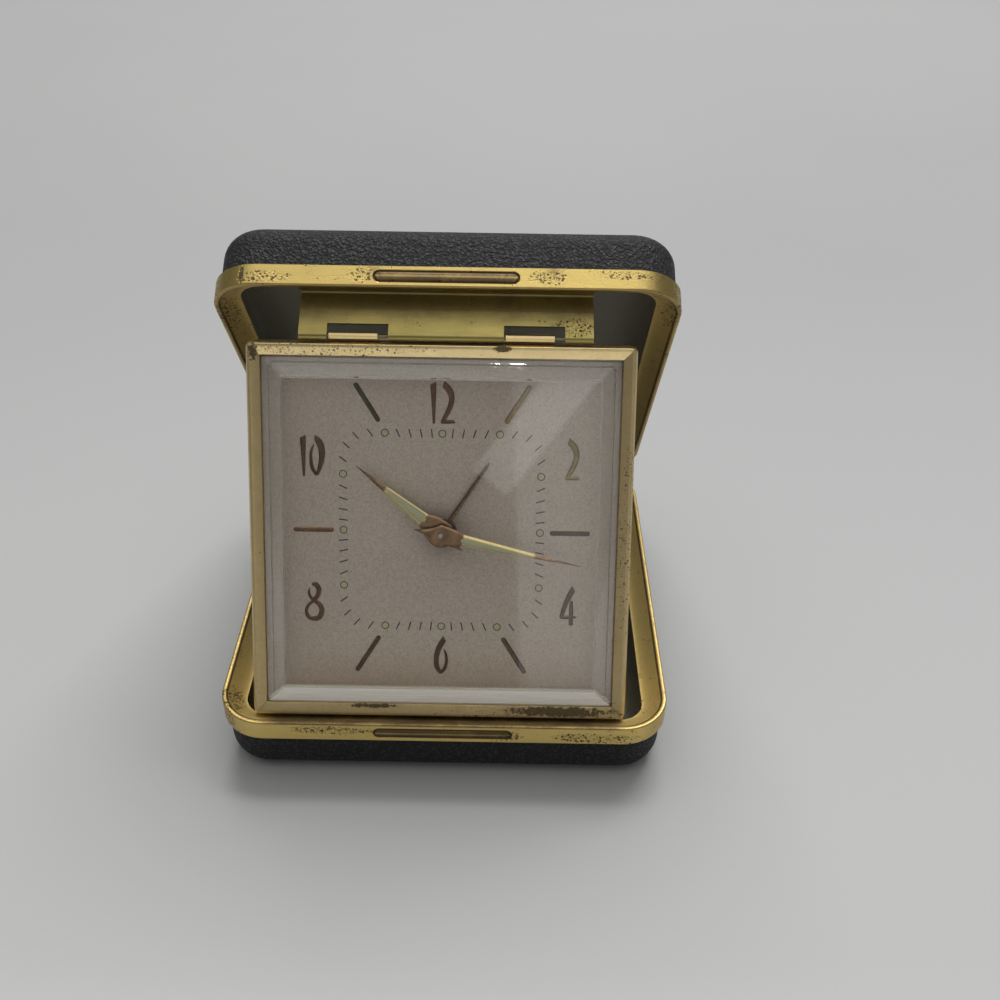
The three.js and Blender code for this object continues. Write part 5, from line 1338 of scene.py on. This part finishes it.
def dress(names, material, width):
    dressed.update(names)
    for name in names:
        node = frame["nodes"][name]
        mesh = node.data
        normals = mesh.attributes.get("custom_normal")
        if normals:
            mesh.attributes.remove(normals)
        mesh.materials.clear()
        mesh.materials.append(material)
        for polygon in mesh.polygons:
            polygon.use_smooth = True
            polygon.material_index = 0
        weld = node.modifiers.new("weld", "WELD")
        weld.merge_threshold = WELD_REACH
        edge = node.modifiers.new("edge", "BEVEL")
        edge.width = width * MILLIMETRE
        edge.segments = 2
        edge.limit_method = "ANGLE"
        edge.angle_limit = EDGE_ANGLE
        edge.harden_normals = True


FINE_EDGE = 0.05
PLATE_EDGE = 0.1
hinge_brass = {
    "lower": brass("lower_hinge_brass", LOWER, 121, BEZEL_GOLD, TARNISH, 0.3, 0.5, 0.3),
    "upper": brass("upper_hinge_brass", UPPER, 125, BEZEL_GOLD, TARNISH, 0.3, 0.5, 0.3),
}
dress(["lower_hinge_leaf"], hinge_brass["lower"], PLATE_EDGE)
dress(["upper_hinge_leaf"], hinge_brass["upper"], PLATE_EDGE)


def leaf_painted_shade(finish):
    """Painted shade, partly tarnish: the leaf is darkened along its foot and bend, and bright again towards
    the clock.
    """
    height = finish.axis(2) + finish.noise(0.12, 301, 7, 0.72) * 6
    return finish.step(height, 9, 4.4, 0.25, 0.8)


leaf_clusters = (((-24, -86, 5), (5, 3, 3)),)
leaf_brass = brass("clock_leaf_brass", UPPER, 129, (0.43, 0.35, 0.115), (0.11, 0.08, 0.04), 0.27, 0.55, 0.5,
                   (0.3, 2, 2), clusters=leaf_clusters, shade=leaf_painted_shade)
piece("clock_leaf", *clock_leaf(), UPPER, "upper_tray", leaf_brass, "clock_hinge_leaf")
dress(["lower_pan"], steel("lower_pan_steel", LOWER, 131), PLATE_EDGE)
dress(["upper_pan"], steel("upper_pan_steel", UPPER, 133), PLATE_EDGE)
dress(["case_hinge_pin"], steel("case_pin_steel", LOWER, 135), FINE_EDGE)
knuckle_brass = brass("knuckle_brass", CLOCK, 137, BEZEL_GOLD, TARNISH, 0.3, 0.45, 0.3)
dress(["clock_hinge_knuckles"], knuckle_brass, FINE_EDGE)
dress(["clock_hinge_pin"], steel("clock_pin_steel", CLOCK, 139, (0.22, 0.19, 0.13), 0.42), FINE_EDGE)
case_brass = brass("case_brass", CLOCK, 141, BEZEL_GOLD, TARNISH, 0.32, 0.45, 0.35)
dress(["clock_case"], case_brass, PLATE_EDGE)
dress(["back_cover"], enamel("back_enamel", CLOCK, 143), PLATE_EDGE)
dress([f"back_screw_{number}" for number in range(1, 5)], steel("screw_steel", CLOCK, 145), FINE_EDGE)
controls = [
    "hand_setting_knob", "alarm_setting_knob", "alarm_stop_slide", "time_winding_key", "music_winding_key",
]
dress(controls, brass("key_brass", CLOCK, 147, (0.8, 0.62, 0.3), TARNISH, 0.28, 0.3, 0.25), PLATE_EDGE)
steel_nodes = {
    "time_mainspring", "music_mainspring", "pallet_lever", "hairspring", "music_comb", "centre_arbor",
    "alarm_setting_arbor", "time_ratchet_wheel", "music_ratchet_wheel", "regulator_lever",
}
rest = [name for name, node in frame["nodes"].items() if not node.hide_render and name not in dressed]
movement_brass = brass("movement_brass", CLOCK, 153, (0.78, 0.6, 0.27), TARNISH, 0.28, 0.2, 0.15)
dress([name for name in rest if name in steel_nodes], steel("movement_steel", CLOCK, 151), FINE_EDGE)
dress([name for name in rest if name not in steel_nodes], movement_brass, FINE_EDGE)


# Floor, light and camera
FLOOR_HALF = 3
# Floor paper greys: painted darker far back and painted lighter towards the front, standing in for the fall
# of light.
FLOOR_FAR_SHADED = (0.335, 0.34, 0.34)
FLOOR_NEAR = (0.495, 0.5, 0.5)
FLOOR_FRONT_LIT = (0.9, 0.9, 0.89)
FLOOR_SQUARES = 24
SKY_LEVELS = (0.62, 1.0, 0.175, 0.9)


def floor():
    steps = FLOOR_SQUARES
    points, faces = [], []
    for row in range(steps + 1):
        for column in range(steps + 1):
            points.append(((2 * column / steps - 1) * FLOOR_HALF, (2 * row / steps - 1) * FLOOR_HALF, 0))
    for row in range(steps):
        for column in range(steps):
            corner = row * (steps + 1) + column
            faces.append((corner, corner + 1, corner + steps + 2, corner + steps + 1))
    mesh = bpy.data.meshes.new("studio_floor")
    mesh.from_pydata(points, [], faces)
    made = linked("studio_floor", mesh)
    finish = Finish("floor_paper", Matrix.Scale(MILLIMETRE, 4))
    mottle = finish.noise(0.004, 201, 3)
    tooth = finish.noise(0.9, 203, 4, 0.7)
    # Painted light: the paper darkens to the back and lightens to the front.
    near = finish.step(finish.axis(1), 260, -160)
    paper = finish.mix(near, FLOOR_FAR_SHADED, FLOOR_NEAR)
    paper = finish.mix(finish.step(finish.axis(1), -84, -180), paper, FLOOR_FRONT_LIT)
    paper = finish.mix(mottle * 0.3, paper, (FLOOR_NEAR[0], FLOOR_NEAR[1], FLOOR_NEAR[2] * 0.96))
    finish.set(Base_Color=paper, Normal=finish.bump(tooth, 0.03))
    finish.set(Roughness=0.7)
    mesh.materials.append(finish.material)


floor()

world = bpy.data.worlds.new("studio")
bpy.context.scene.world = world
world.use_nodes = True
sky = Nodes(world.node_tree)
direction = sky.node("ShaderNodeTexCoord", "Generated", {})
height = sky.node("ShaderNodeSeparateXYZ", "Z", {"Vector": direction})
glow = {"Color": (1, 0.995, 0.98, 1), "Strength": sky.step(height, *SKY_LEVELS)}
background = sky.node("ShaderNodeBackground", "Background", glow)
sky.join(background, sky.add("ShaderNodeOutputWorld").inputs["Surface"])


def lamp(name, place, target, size, energy, roll=0):
    light = bpy.data.lights.new(name, "AREA")
    light.shape = "RECTANGLE"
    light.size, light.size_y = size
    light.energy = energy
    made = linked(name, light)
    made.location = place
    facing = (Vector(target) - Vector(place)).to_track_quat("-Z", "Y").to_matrix()
    made.rotation_euler = (facing @ Matrix.Rotation(roll, 3, "Z")).to_euler()


lamp("overhead", (0.17, 0.88, 1.4), (0, 0, 0.05), (1.3, 0.8), 24)
lamp("front_panel", (0.24, -1.5, 0.45), (0.02, -0.02, 0.06), (0.415, 0.7), 0.5)
lamp("front_strip", (0.067, -1.49, 0.612), (0.02, -0.02, 0.06), (0.25, 0.07), 0.045, math.radians(52))
lamp("ceiling_spot_left", (0.031, -0.274, 1.5), (0.013, -0.016, 0.076), (0.02, 0.01), 0.12)
lamp("ceiling_spot_right", (0.079, -0.272, 1.5), (0.019, -0.016, 0.076), (0.03, 0.01), 0.17)

camera_data = bpy.data.cameras.new("camera")
camera_data.lens = CAMERA_LENS
camera_data.sensor_width = CAMERA_SENSOR
camera_data.clip_start = 0.01
camera = linked("camera", camera_data)
turn = Matrix.Rotation(CAMERA_YAW, 4, "Z") @ Matrix.Rotation(math.pi / 2 - CAMERA_PITCH, 4, "X")
camera.matrix_world = Matrix.Translation(CAMERA_PLACE) @ turn @ Matrix.Rotation(CAMERA_ROLL, 4, "Z")
bpy.context.scene.camera = camera
bpy.context.scene.view_settings.view_transform = "Standard"
